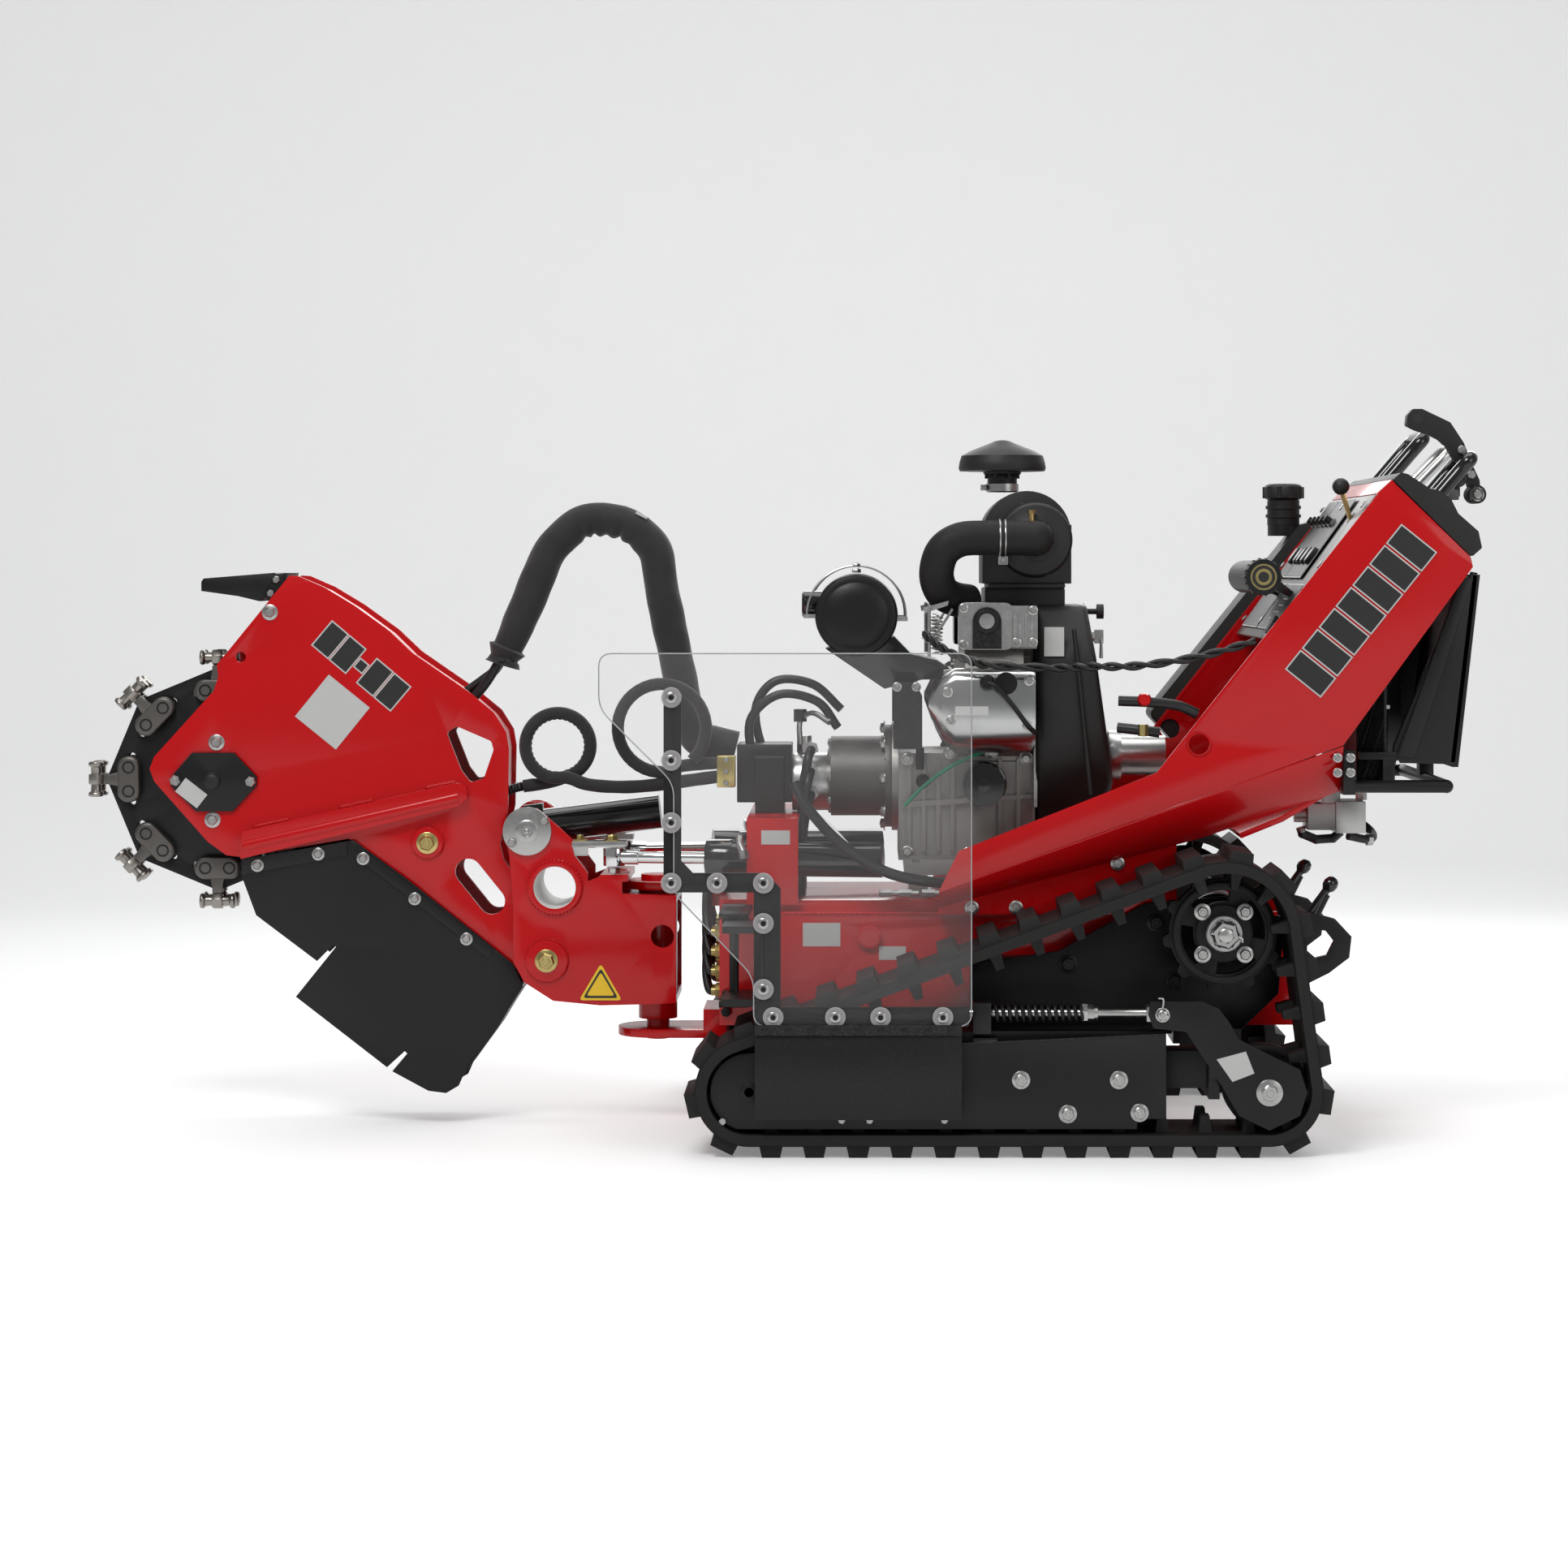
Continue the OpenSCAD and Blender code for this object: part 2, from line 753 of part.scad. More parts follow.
module flywheel_shroud() {
    color(BLACK)
        intersection() {
            yplate([[56, 906], [146, 906], [190, 600], [170, 520], [56, 520]], -190, 190);
            translate([50, 0, 700])
                rotate([0, 90, 0])
                    linear_extrude(160)
                        polygon([[180, -110], [180, 110], [60, 180], [-120, 190], [-215, 120],
                            [-215, -120], [-120, -190], [60, -180]]);
        }
}

// zinc air shrouds over the cylinders, one each side
module cylinder_shrouds() {
    color(ZINC)
        both_sides()
            yplate([[-128, 738], [-106, 786], [-84, 798], [50, 798], [50, 690], [20, 664],
                [-96, 664], [-118, 690]], -260, -254);
}

module muffler() {
    color(BLACK) {
        ycyl([-253, 888], -128, 128, muffler_r);
        xcyl([-60, 906], -348, -310, 17);
        // heat shield duct down to the exhaust ports
        yplate([[-307, 830], [-204, 760], [-138, 776], [-84, 776], [-84, 790], [-113, 810],
            [-157, 820], [-186, 850]], -90, 90);
        // clamp bands
        for (y = [-70, 60])
            difference() {
                ycyl([-253, 888], y, y + 14, muffler_r + 3);
                ycyl([-253, 888], y - 1, y + 15, muffler_r - 2);
            }
    }
}

// height and radius of the air cleaner's arched housing
AIR_ARCH = [43, 1027];
AIR_ARCH_R = 77;
module air_cleaner() {
    color(BLACK) {
        ycyl([56, 1019], -140, 140, air_cover_r);
        slab(-33, 119, -110, 110, 937, 1027);
        ycyl(AIR_ARCH, -110, 110, AIR_ARCH_R);
        // stack and rain cap
        zcyl([4, 0], 1060, 1134, 26);
        translate([4, 0, 0])
            rotate_extrude($fn = 72)
                polygon([[0, 1128], [27, 1128], [33, 1138], [33, 1143], [76, 1143], [72, 1172],
                    [14, 1196], [0, 1196]]);
    }
    color(ZINC)
        difference() {
            zcyl([4, 0], 1108, 1120, 29);
            zcyl([4, 0], 1107, 1121, 25);
        }
}

INTAKE_Y = -170;
module intake_hose() {
    color(RUBBER)
        tube_path([[56, INTAKE_Y, 1021], [-70, INTAKE_Y, 1021], [-113, -166, 965],
            [-104, -124, 928], [-58, -80, 912]], 28);
    color(RUBBER)
        ycyl([56, 1021], -202, -140.5, 33);
}

module oil_filter() {
    color(BLACK)
        ycyl([-34, 598], -186, -125.5, 36);
}

module choke_knob() {
    color(BLACK) {
        xcyl([-40, 894], 149, 168, 5);
        xcyl([-40, 894], 168, 180, 13);
    }
}

module ignition_key() {
    color(ZINC) {
        xcyl([-40, 850], 156.5, 164, 9);
        slab(164, 180, -42, -38, 838, 862);
    }
}

module bell_housing() {
    color(BLACK) {
        xcyl([0, 604], -298, -203, 70);
        difference() {
            xcyl([0, 604], -203, -191, 90);
            xcyl([0, 604], -204, -190, 40);
        }
    }
}

module hydraulic_units() {
    color(ZINC) {
        xcyl([0, 594], -366, -298, 51);
        zcyl([-345, 0], 645, 675, 13);
        // auxiliary pump behind the flywheel
        xcyl([0, 640], 190.5, 212, 44);
        xcyl([0, 640], 212, 290, 35);
    }
    color(BLACK)
        both_sides() {
            // travel motors on the inner drive plates
            ycyl(SPROCKET, -BELT_IN + 9, -110, 55);
            ycyl(SPROCKET, -BELT_IN - 1, -BELT_IN + 9, 38);
            ycyl(SPROCKET, -TRACK_Y - 48, -BELT_IN + 1, SHAFT_R);
            ycyl(SPROCKET, -TRACK_Y - 56, -TRACK_Y - 37, 24, $fn = 6);
        }
}

module valve_block() {
    color(BLACK) {
        slab(-462, -366, -56, 56, 560, 662);
        slab(-430, -380, -70, 70, 542, 640);
    }
}

module fuel_tank() {
    color(BLACK) {
        yround([[285, 700], [566, 1050], [620, 1064], [680, 990], [420, 640], [340, 640]],
            tower_half + 1, 425, 14);
        zcyl([541, 362], 1030, 1097, 29);
    }
}

module fuel_cap() {
    color(BLACK)
        zcyl([541, 362], 1097.5, 1127, 37);
}

module document_canister() {
    color(BLACK) {
        ycyl([437, 955], -240, 60, 28.5);
        ycyl([437, 955], -262, -225, 31);
        for (y = [-180, 0])
            yplate([[452, 938], [495.3, 918], [501, 926], [458, 960]], y, y + 20);
    }
}

// rocker on its cross pin, just above the panel
ROCKER_AT = [461.4, -210, 870.1];
PANEL_TILT = 54.35;
module rocker_switch() {
    color(BLACK)
        translate(ROCKER_AT)
            rotate([0, -PANEL_TILT, 0]) {
                translate([-16, -22, 1.6])
                    cube([32, 44, 12.4]);
                translate([0, -24, 7.6])
                    rotate([-90, 0, 0])
                        cylinder(h = 48, r = 5.5);
            }
}

THROTTLE_PIVOT = [600, 1040];
module throttle_lever() {
    color(BLACK) {
        yplate([[594, 1040], [602, 1040], [584, 1102], [574, 1102]], -184, -178);
        translate([578, -181, 1110])
            sphere(r = 14, $fn = 32);
        ycyl(THROTTLE_PIVOT, -185, -177, 7);
    }
}

BAIL_PIVOT = [724, 1112];
module drive_lever() {
    color(STEEL)
        tube_path([[724, -60, 1112], [784, -60, 1172], [784, 60, 1172], [724, 60, 1112]], 9);
    color(STEEL)
        both_sides()
            ycyl(BAIL_PIVOT, -80, -52, 9);
}

GRIP_PIVOT = [806, 1096];
module presence_grip() {
    color(BLACK) {
        yround([[687, 1214], [689, 1232], [698, 1242], [714, 1242], [762, 1219], [785, 1184],
            [798, 1150], [812, 1120], [814, 1090], [800, 1090], [786, 1134], [770, 1154], [756, 1178],
            [743, 1190], [727, 1198], [703, 1206]], -206, -178, 4);
        ycyl(GRIP_PIVOT, -214, -170, 16);
    }
}

module pump_hoses() {
    color(RUBBER)
        for (k = [0, 1])
            rod_chain([[-452, -214, 642 - 26 * k], [-358, -222, 612 - 20 * k],
                [-282, -228, 542 - 24 * k], [-176, -226, 486 - 18 * k],
                [-112, -222, 470 - 14 * k]], 8);
}

// ---- boom ----

SWING_IN = 84;
SWING_OUT = 96;
TUBE_C = [-777, 415];

module swing_frame() {
    color(RED) {
        difference() {
            union() {
                both_sides() {
                    yplate([[-849, 285], [-849, 384], [-822, 390], [-786, 400], [-690, 437],
                        [-660, 437], [-660, 404], [-566, 400], [-566, 214], [-613, 212], [-698, 210],
                        [-780, 218], [-830, 250]], -SWING_OUT, -SWING_IN);
                    // ear with the lift cylinder trunnion bearing
                    yplate([[-849, 380], [-856, 470], [-866, 520], [-840, 552], [-808, 552],
                        [-770, 520], [-742, 494], [-742, 470], [-720, 440], [-720, 400]],
                        -SWING_OUT, -SWING_IN);
                    ycyl(LIFT_PIVOT, -SWING_OUT - 6, -SWING_OUT + 1, 36);
                }
                // cross tube, see-through
                ycyl(TUBE_C, -SWING_OUT - 6, SWING_OUT + 6, 46);
                // box round the swing pin
                slab(-690, -566, -SWING_IN - 1, SWING_IN + 1, 214, 226);
                slab(-660, -566, -SWING_IN - 1, SWING_IN + 1, 388, 400);
                slab(-700, -688, -SWING_IN - 1, SWING_IN + 1, 214, 380);
                slab(-698, -650, -SWING_OUT, SWING_OUT, 425, 437);
                zcyl([KING_X, 0], 178, 405, 34);
            }
            ycyl(TUBE_C, -SWING_OUT - 7, SWING_OUT + 7, 37);
            both_sides() {
                ycyl(TRUNNION, -SWING_OUT - 1, -SWING_IN + 1, 16 + RUN);
                ycyl([-590, 330], -SWING_OUT - 1, -SWING_IN + 1, 20);
            }
            zcyl([KING_X, 0], 170, 410, king_pin_r + RUN);
        }
        // lift pivot pin
        ycyl(LIFT_PIVOT, -SWING_OUT, SWING_OUT, lift_pin_r);
    }
    // trunnion caps and swing rod straps
    color(ZINC)
        both_sides() {
            difference() {
                ycyl(TRUNNION, -SWING_OUT - 6, -SWING_OUT, 42);
                translate([-784, -SWING_OUT - 10, 462])
                    rotate([0, 40, 0])
                        cube([40, 20, 80], center = true);
            }
            slab(-746, -652, -SWING_PIN[1] - 20, -SWING_PIN[1] + 20, 486, 496);
            slab(-746, -720, -SWING_PIN[1] - 4, -SWING_PIN[1] + 8, 470, 487);
        }
}

module swing_barrel_left() {
    swing_barrel();
}

module swing_barrel_right() {
    on_side(1)
        swing_barrel();
}

// along the swing cylinder: s from the rod pin toward the trunnion
module on_swing_axis() {
    translate([SWING_PIN[0], -SWING_PIN[1], SWING_Z])
        rotate([0, 0, -SWING_TURN])
            children();
}

module swing_barrel() {
    color(BLACK) {
        on_swing_axis()
            difference() {
                union() {
                    xcyl([0, 0], SWING_LEN - 116, SWING_LEN + 190, 30);
                    xcyl([0, 0], SWING_LEN - 116, SWING_LEN - 70, 33);
                }
                xcyl([0, 0], SWING_LEN - 117, SWING_LEN - 80, 10.5 + RUN);
                xcyl([0, 0], SWING_LEN - 90, SWING_LEN + 180, 24);
            }
        difference() {
            zcyl([SWING_TRUNNION[0], -SWING_TRUNNION[1]], 396, 541, 12);
            on_swing_axis()
                xcyl([0, 0], SWING_LEN - 90, SWING_LEN + 180, 24);
        }
    }
}

module swing_rod() {
    color(STEEL)
        on_swing_axis() {
            xcyl([0, 0], 12, SWING_LEN - 30, 10.5);
            xcyl([0, 0], SWING_LEN - 32, SWING_LEN - 16, 23.5);
            difference() {
                translate([0, 0, -15])
                    cylinder(h = 30, r = 19);
                translate([0, 0, -20])
                    cylinder(h = 40, r = 8);
            }
            xcyl([0, 0], 14, 44, 13);
        }
}

module swing_rod_left() {
    swing_rod();
}

module swing_rod_right() {
    on_side(1)
        swing_rod();
}

// along the lift cylinder, from the rod pin toward the barrel end
module on_lift_axis() {
    translate([ROD_PIN[0], 0, ROD_PIN[1]])
        rotate([0, -LIFT_TILT, 0])
            children();
}

module lift_barrel() {
    color(BLACK) {
        difference() {
            union() {
                on_lift_axis()
                    xcyl([0, 0], LIFT_LEN - 24, LIFT_LEN + 228, lift_barrel_r);
                ycyl(TRUNNION, -SWING_OUT + 1, SWING_OUT - 1, 16);
                ycyl(TRUNNION, -40, 40, 30);
                on_lift_axis()
                    translate([LIFT_LEN - 10, -14, lift_barrel_r - 4])
                        cube([34, 28, 14]);
            }
            on_lift_axis() {
                xcyl([0, 0], LIFT_LEN - 34, LIFT_LEN + 5, 14 + RUN);
                xcyl([0, 0], LIFT_LEN - 5, LIFT_LEN + 218, 25);
            }
        }
    }
}

module lift_rod() {
    color(STEEL)
        on_lift_axis() {
            xcyl([0, 0], 22, LIFT_LEN + 202, 14);
            xcyl([0, 0], LIFT_LEN + 202, LIFT_LEN + 217, 24.5);
            rotate([-90, 0, 0])
                translate([0, 0, -20])
                    difference() {
                        cylinder(h = 40, r = 28);
                        translate([0, 0, -1])
                            cylinder(h = 42, r = 14);
                    }
        }
}

// ---- grinding head ----

HEAD_IN = 62;
HEAD_OUT = 72;
HEAD_SIDE = [[-1242, 957], [-1226, 956], [-1182, 937], [-1129, 905], [-1068, 861], [-1027, 822],
    [-930, 755], [-885, 718], [-864, 684], [-859, 655], [-861, 549], [-875, 488], [-868, 460],
    [-841, 425], [-806, 372], [-760, 330], [-756, 270], [-780, 252], [-820, 258], [-851, 276],
    [-884, 302], [-1011, 399], [-1138, 498], [-1325, 466], [-1352, 469], [-1385, 493], [-1478, 598],
    [-1486, 620], [-1478, 641], [-1374, 756], [-1366, 782], [-1369, 801]];
// middle line of the curved back cover
COVER = [[-1240, 949], [-1226, 948], [-1184, 930], [-1132, 898], [-1072, 854], [-1032, 815],
    [-934, 748], [-892, 712], [-871, 682], [-866, 654], [-867, 570]];

module head_frame() {
    color(RED) {
        difference() {
            union() {
                both_sides()
                    yplate(HEAD_SIDE, -HEAD_OUT, -HEAD_IN);
                // back cover between the sides
                for (i = [0:len(COVER) - 2])
                    yplate([COVER[i], COVER[i + 1],
                        COVER[i + 1] + [-5, -7], COVER[i] + [-5, -7]], -HEAD_IN - 1, HEAD_IN + 1);
                // lower cross sheet
                yplate([[-1138, 498], [-1134, 503], [-862, 292], [-866, 287]],
                    -HEAD_IN - 1, HEAD_IN + 1);
                // pivot tube and rod pin bosses
                ycyl(LIFT_PIVOT, -SWING_IN + 1, SWING_IN - 1, 34);
                both_sides() {
                    ycyl(ROD_PIN, -HEAD_OUT - 4, -20.5, 20);
                    ycyl(ROD_PIN, -HEAD_OUT - 5, -HEAD_OUT + 1, 27);
                    // outside stiffener rail
                    yplate([[-1324, 464], [-1322, 512], [-950, 596], [-932, 590], [-929, 570],
                        [-946, 556]], -HEAD_OUT - 20, -HEAD_OUT + 1);
                }
            }
            both_sides() {
                ycyl(CUTTER, -HEAD_OUT - 1, -HEAD_IN + 1, cutter_shaft_r);
                yround([[-968, 683], [-950, 694], [-890, 668], [-886, 653], [-903, 603], [-926, 596],
                    [-942, 617]], -HEAD_OUT - 1, -HEAD_IN + 1, 8);
                hull() {
                    ycyl([-930, 440], -HEAD_OUT - 1, -HEAD_IN + 1, 23);
                    ycyl([-889, 389], -HEAD_OUT - 1, -HEAD_IN + 1, 23);
                }
                ycyl([-1327, 815], -HEAD_OUT - 1, -HEAD_IN + 1, 9);
            }
            ycyl(LIFT_PIVOT, -SWING_IN - 1, SWING_IN + 1, lift_pin_r + RUN);
        }
    }
}

CURTAIN_Y = HEAD_OUT + 6;
CURTAIN_SIDE = [[-1327, 440], [-1299, 365], [-1193, 285], [-1164, 314], [-1160, 310], [-1230, 223],
    [-1071, 100], [-1040, 128], [-1036, 124], [-1062, 93], [-999, 59], [-968, 55], [-946, 68],
    [-931, 102], [-886, 159], [-834, 240], [-851, 280], [-892, 314], [-1036, 428], [-1130, 496],
    [-1320, 462]];

module chip_guards() {
    color(BLACK) {
        both_sides() {
            yplate(CURTAIN_SIDE, -CURTAIN_Y, -CURTAIN_Y + 4);
            // clamp strips
            yplate([[-1322, 436], [-1324, 462], [-1140, 494], [-1140, 470]],
                -CURTAIN_Y - 4, -CURTAIN_Y);
            yplate([[-1128, 470], [-1118, 484], [-884, 306], [-894, 290]],
                -CURTAIN_Y - 4, -CURTAIN_Y);
        }
        // curtain across the back
        yplate([[-936, 92], [-931, 96], [-880, 166], [-838, 236], [-842, 239], [-886, 170]],
            -CURTAIN_Y + 4, CURTAIN_Y - 4);
        yplate([[-842, 239], [-838, 236], [-834, 246], [-838, 250]],
            -CURTAIN_Y + 4, CURTAIN_Y - 4);
    }
    // front flap at the nose
    color(BLACK)
        yplate([[-1394, 952], [-1398, 946], [-1398, 930], [-1334, 921], [-1296, 912], [-1262, 956],
            [-1270, 962]], -60, 60);
}

module hub_covers() {
    color(BLACK)
        both_sides() {
            yplate([[-1411, 648], [-1338, 648], [-1298, 606], [-1299, 590], [-1340, 546],
                [-1404, 546], [-1449, 592], [-1446, 608]], -HEAD_OUT - 6, -HEAD_OUT);
            ycyl([-1376, 599], -HEAD_OUT - 16, -HEAD_OUT - 5, 14);
        }
}

module cutter_wheel() {
    color(BLACK)
        translate([CUTTER[0], 0, CUTTER[1]])
            rotate([90, 0, 0]) {
                difference() {
                    translate([0, 0, -disc_thickness / 2])
                        linear_extrude(disc_thickness)
                            circle(r = disc_apothem / cos(180 / 8), $fn = 8);
                    for (k = [0:tooth_stations - 1])
                        rotate(k * 360 / tooth_stations + 22.5)
                            for (dx = [-22, 22])
                                translate([disc_apothem - 26, dx, -disc_thickness])
                                    cylinder(h = 2 * disc_thickness, r = 7);
                }
                translate([0, 0, -HEAD_OUT + 1])
                    cylinder(h = 2 * HEAD_OUT - 2, r = cutter_shaft_r - RUN);
                for (sz = [-1, 1])
                    translate([0, 0, sz * 30 - 20])
                        cylinder(h = 40, r = 60);
            }
}

// places its children at every tooth station, x out along the radius
module at_teeth() {
    translate([CUTTER[0], 0, CUTTER[1]])
        rotate([90, 0, 0])
            for (k = [0:tooth_stations - 1])
                rotate(k * 360 / tooth_stations)
                    children();
}

module tooth_holders() {
    color(STEEL)
        at_teeth()
            rotate(0)
                for (sz = [-1, 1])
                    translate([disc_apothem - 26, 0, sz * (disc_thickness / 2 + 8)])
                        difference() {
                            union() {
                                for (sy = [-1, 1])
                                    translate([0, sy * 21, -8])
                                        cylinder(h = 16, r = 20);
                                translate([-20, -21, -8])
                                    cube([40, 42, 16]);
                                translate([10, -11, -8])
                                    cube([34, 22, 16]);
                            }
                            for (sy = [-1, 1])
                                translate([0, sy * 21, -9])
                                    cylinder(h = 18, r = 7);
                        }
}

module cutter_teeth() {
    color(ZINC)
        at_teeth()
            for (sz = [-1, 1])
                translate([disc_apothem + 18, -22, sz * (disc_thickness / 2 + 8)])
                    translate([14, 0, 0])
                        rotate([-90, 0, 0]) {
                            cylinder(h = 44, r = 9);
                            translate([0, 0, -7])
                                cylinder(h = 8, r1 = 12, r2 = 14);
                            translate([0, 0, 43])
                                cylinder(h = 8, r1 = 14, r2 = 12);
                        }
}

// ---- hoses of the boom ----

SLEEVE_R = 31;
module hose_bundle() {
    color(RUBBER) {
        rod_chain([[-872, 0, 802], [-824, 0, 935], [-770, 0, 1026], [-690, 0, 1054],
            [-620, 0, 1018], [-584, 0, 930], [-545, 0, 760], [-524, 0, 706]], SLEEVE_R);
        // two small sleeved loops beside the lift cylinder
        translate([-772, -52, 668])
            rotate([90, 0, 0])
                rotate_extrude($fn = 36)
                    translate([54, 0])
                        circle(r = 9, $fn = 16);
        translate([-596, -62, 694])
            rotate([90, 0, 0])
                rotate_extrude($fn = 36)
                    translate([68, 0])
                        circle(r = 9, $fn = 16);
        rod([-846, -50, 582], [-760, -54, 592], 9);
        rod([-752, -56, 592], [-530, -66, 604], 9);
    }
}

// ---- shield ----

SHIELD_Y = 455;
SHIELD_PIN = [-457, -325];
module shield_sheet() {
    color([0.85, 0.9, 0.92, 0.3])
        difference() {
            yround([[-674, 830], [-63, 830], [-63, 219], [-420, 219], [-420, 300], [-551, 437],
                [-551, 617], [-674, 740]], -SHIELD_Y - 5, -SHIELD_Y, 16);
            for (p = SHIELD_BOLTS)
                ycyl(p, -SHIELD_Y - 6, -SHIELD_Y + 1, 5);
        }
}

SHIELD_BOLTS = [[-555, 758], [-555, 655], [-555, 553], [-555, 454], [-480, 454], [-404, 454],
    [-404, 388], [-404, 280], [-388, 234], [-286, 234], [-212, 234], [-110, 234]];

module shield_bracket() {
    color(BLACK) {
        difference() {
            yround([[-568, 772], [-539, 772], [-539, 490], [-520, 470], [-400, 470], [-376, 445],
                [-376, 250], [-66, 250], [-66, 218], [-420, 218], [-420, 438], [-568, 438]],
                -SHIELD_Y, -SHIELD_Y + 6, 6);
            for (p = SHIELD_BOLTS)
                ycyl(p, -SHIELD_Y - 1, -SHIELD_Y + 7, 5);
        }
        // lower flap
        yplate([[-418, 219], [-79, 219], [-79, 66], [-418, 66]], -SHIELD_Y - 9, -SHIELD_Y - 5.5);
        slab(-418, -79, -SHIELD_Y - 6, -SHIELD_Y + 1, 212, 218.5);
        // arms and hinge tube
        for (z = [250, 370]) {
            difference() {
                union() {
                    slab(-472, -400, -SHIELD_Y + 5, SHIELD_PIN[1], z, z + 12);
                    zcyl(SHIELD_PIN, z, z + 12, 20);
                }
                zcyl(SHIELD_PIN, z - 1, z + 13, 8 + RUN);
            }
        }
    }
    color(ZINC)
        for (p = SHIELD_BOLTS) {
            ycyl(p, -SHIELD_Y - 8, -SHIELD_Y - 5, 15);
            ycyl(p, -SHIELD_Y - 12, -SHIELD_Y + 8, 4.5);
        }
}

// ---- fasteners ----

module base_bolts() {
    color(ZINC) {
        both_sides() {
            for (x = [-57, 18, 109])
                ybolt([x, 395], -WING_IN, 9, 6);
            for (p = [[19, 128], [180, 128], [96, 72], [214, 74]])
                ybolt(p, -PLATE_Y, 11, 6);
            for (p = [[-468, 68], [-276, 62], [-230, 62], [-107, 62]])
                ybolt(p, -PLATE_Y, 7, 5);
            for (p = [[106, 300], [255, 370], [286, 271], [440, 300]])
                ybolt(p, -BELT_IN + 3, 12, 7);
        }
    }
}

module head_bolts() {
    color(ZINC)
        both_sides() {
            for (p = [[-1440, 600], [-1309, 598]])
                ybolt(p, -HEAD_OUT - 6, 11, 6);
            for (p = [[-1369, 666], [-1376, 531], [-1276, 893]])
                ybolt(p, -HEAD_OUT, 11, 7);
            ybolt(ROD_PIN, -HEAD_OUT - 5, 13, 8);
            for (p = [[-1296, 452], [-1190, 472], [-1112, 464], [-1022, 394], [-932, 324]])
                ybolt(p, -CURTAIN_Y - 4, 8, 5);
        }
}

// ---- assembly ----

chassis_frame();
tower_frame();
control_panel();
tower_end_cap();
handle_bars();
oil_cooler();
cooler_fan();
cooler_guard();
rear_valve();
tie_down_hooks();
engine_block();
flywheel_shroud();
cylinder_shrouds();
muffler();
air_cleaner();
intake_hose();
oil_filter();
choke_knob();
ignition_key();
bell_housing();
hydraulic_units();
valve_block();
fuel_tank();
fuel_cap();
document_canister();
rocker_switch();
throttle_lever();
drive_lever();
presence_grip();
pump_hoses();
track_frames();
track_belts();
sprocket_left();
sprocket_right();
front_idler_left();
front_idler_right();
rear_idler_left();
rear_idler_right();
idler_carriage_left();
idler_carriage_right();
tension_spring_left();
tension_spring_right();
shield_sheet();
shield_bracket();
swing_frame();
swing_barrel_left();
swing_barrel_right();
swing_rod_left();
swing_rod_right();
lift_barrel();
lift_rod();
hose_bundle();
head_frame();
chip_guards();
hub_covers();
cutter_wheel();
tooth_holders();
cutter_teeth();
base_bolts();
head_bolts();
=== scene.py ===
"""Looks of the tracked stump grinder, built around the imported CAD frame."""
import json
from math import cos, exp, hypot, pi, radians, sin

import bmesh
import bpy
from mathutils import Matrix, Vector


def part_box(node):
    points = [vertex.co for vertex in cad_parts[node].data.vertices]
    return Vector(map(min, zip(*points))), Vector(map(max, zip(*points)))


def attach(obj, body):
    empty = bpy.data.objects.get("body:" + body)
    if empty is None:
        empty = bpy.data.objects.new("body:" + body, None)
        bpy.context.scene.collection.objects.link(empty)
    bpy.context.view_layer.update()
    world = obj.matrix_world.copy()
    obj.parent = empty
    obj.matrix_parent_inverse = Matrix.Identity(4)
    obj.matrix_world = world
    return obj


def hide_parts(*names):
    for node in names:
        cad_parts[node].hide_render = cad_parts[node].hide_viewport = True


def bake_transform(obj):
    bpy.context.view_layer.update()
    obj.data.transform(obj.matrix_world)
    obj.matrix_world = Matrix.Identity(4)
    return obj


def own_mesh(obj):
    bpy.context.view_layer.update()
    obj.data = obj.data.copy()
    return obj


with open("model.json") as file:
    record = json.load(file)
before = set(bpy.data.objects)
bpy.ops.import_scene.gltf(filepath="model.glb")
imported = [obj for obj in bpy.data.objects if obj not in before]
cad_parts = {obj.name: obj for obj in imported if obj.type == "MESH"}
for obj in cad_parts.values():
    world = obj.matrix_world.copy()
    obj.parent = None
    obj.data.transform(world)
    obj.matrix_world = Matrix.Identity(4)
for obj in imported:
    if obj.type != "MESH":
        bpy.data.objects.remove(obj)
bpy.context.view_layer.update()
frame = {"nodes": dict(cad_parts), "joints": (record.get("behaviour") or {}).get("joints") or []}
MM = 0.001
NODES = frame["nodes"]
JOINT = {j["name"]: Vector([c * 1000 for c in j["pos_m"]])
         for j in frame["joints"] if "pos_m" in j}
# the two sides of the machine: sign of y and the end of the names there
SIDES = ((-1, "left"), (1, "right"))
BOTH = (-1, 1)


def box_mm(node):
    """Lowest and highest corner of a CAD node, in millimetres."""
    low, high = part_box(node)
    return low * 1000, high * 1000


# ---------------------------------------------------------------- materials
def fill(tree, node, inputs):
    """Set each input of a shader node to a value, or link it to a socket."""
    for key, value in inputs.items():
        if isinstance(value, bpy.types.NodeSocket):
            tree.links.new(value, node.inputs[key])
        else:
            node.inputs[key].default_value = value


def shade(tree, kind, inputs, **settings):
    """New shader node; returns its outputs."""
    node = tree.nodes.new("ShaderNode" + kind)
    for key, value in settings.items():
        setattr(node, key, value)
    fill(tree, node, inputs)
    return node.outputs


def blend_colors(tree, factor, a, b):
    return shade(tree, "Mix", {"Factor": factor, "A": a, "B": b}, data_type="RGBA")["Result"]


def new_material(name):
    mat = bpy.data.materials.new(name)
    mat.use_nodes = True
    tree = mat.node_tree
    return mat, tree, tree.nodes["Principled BSDF"], shade(tree, "TexCoord", {})["Object"]


def rgba(color, gain=1.0):
    return (*[min(1, c * gain) for c in color], 1)


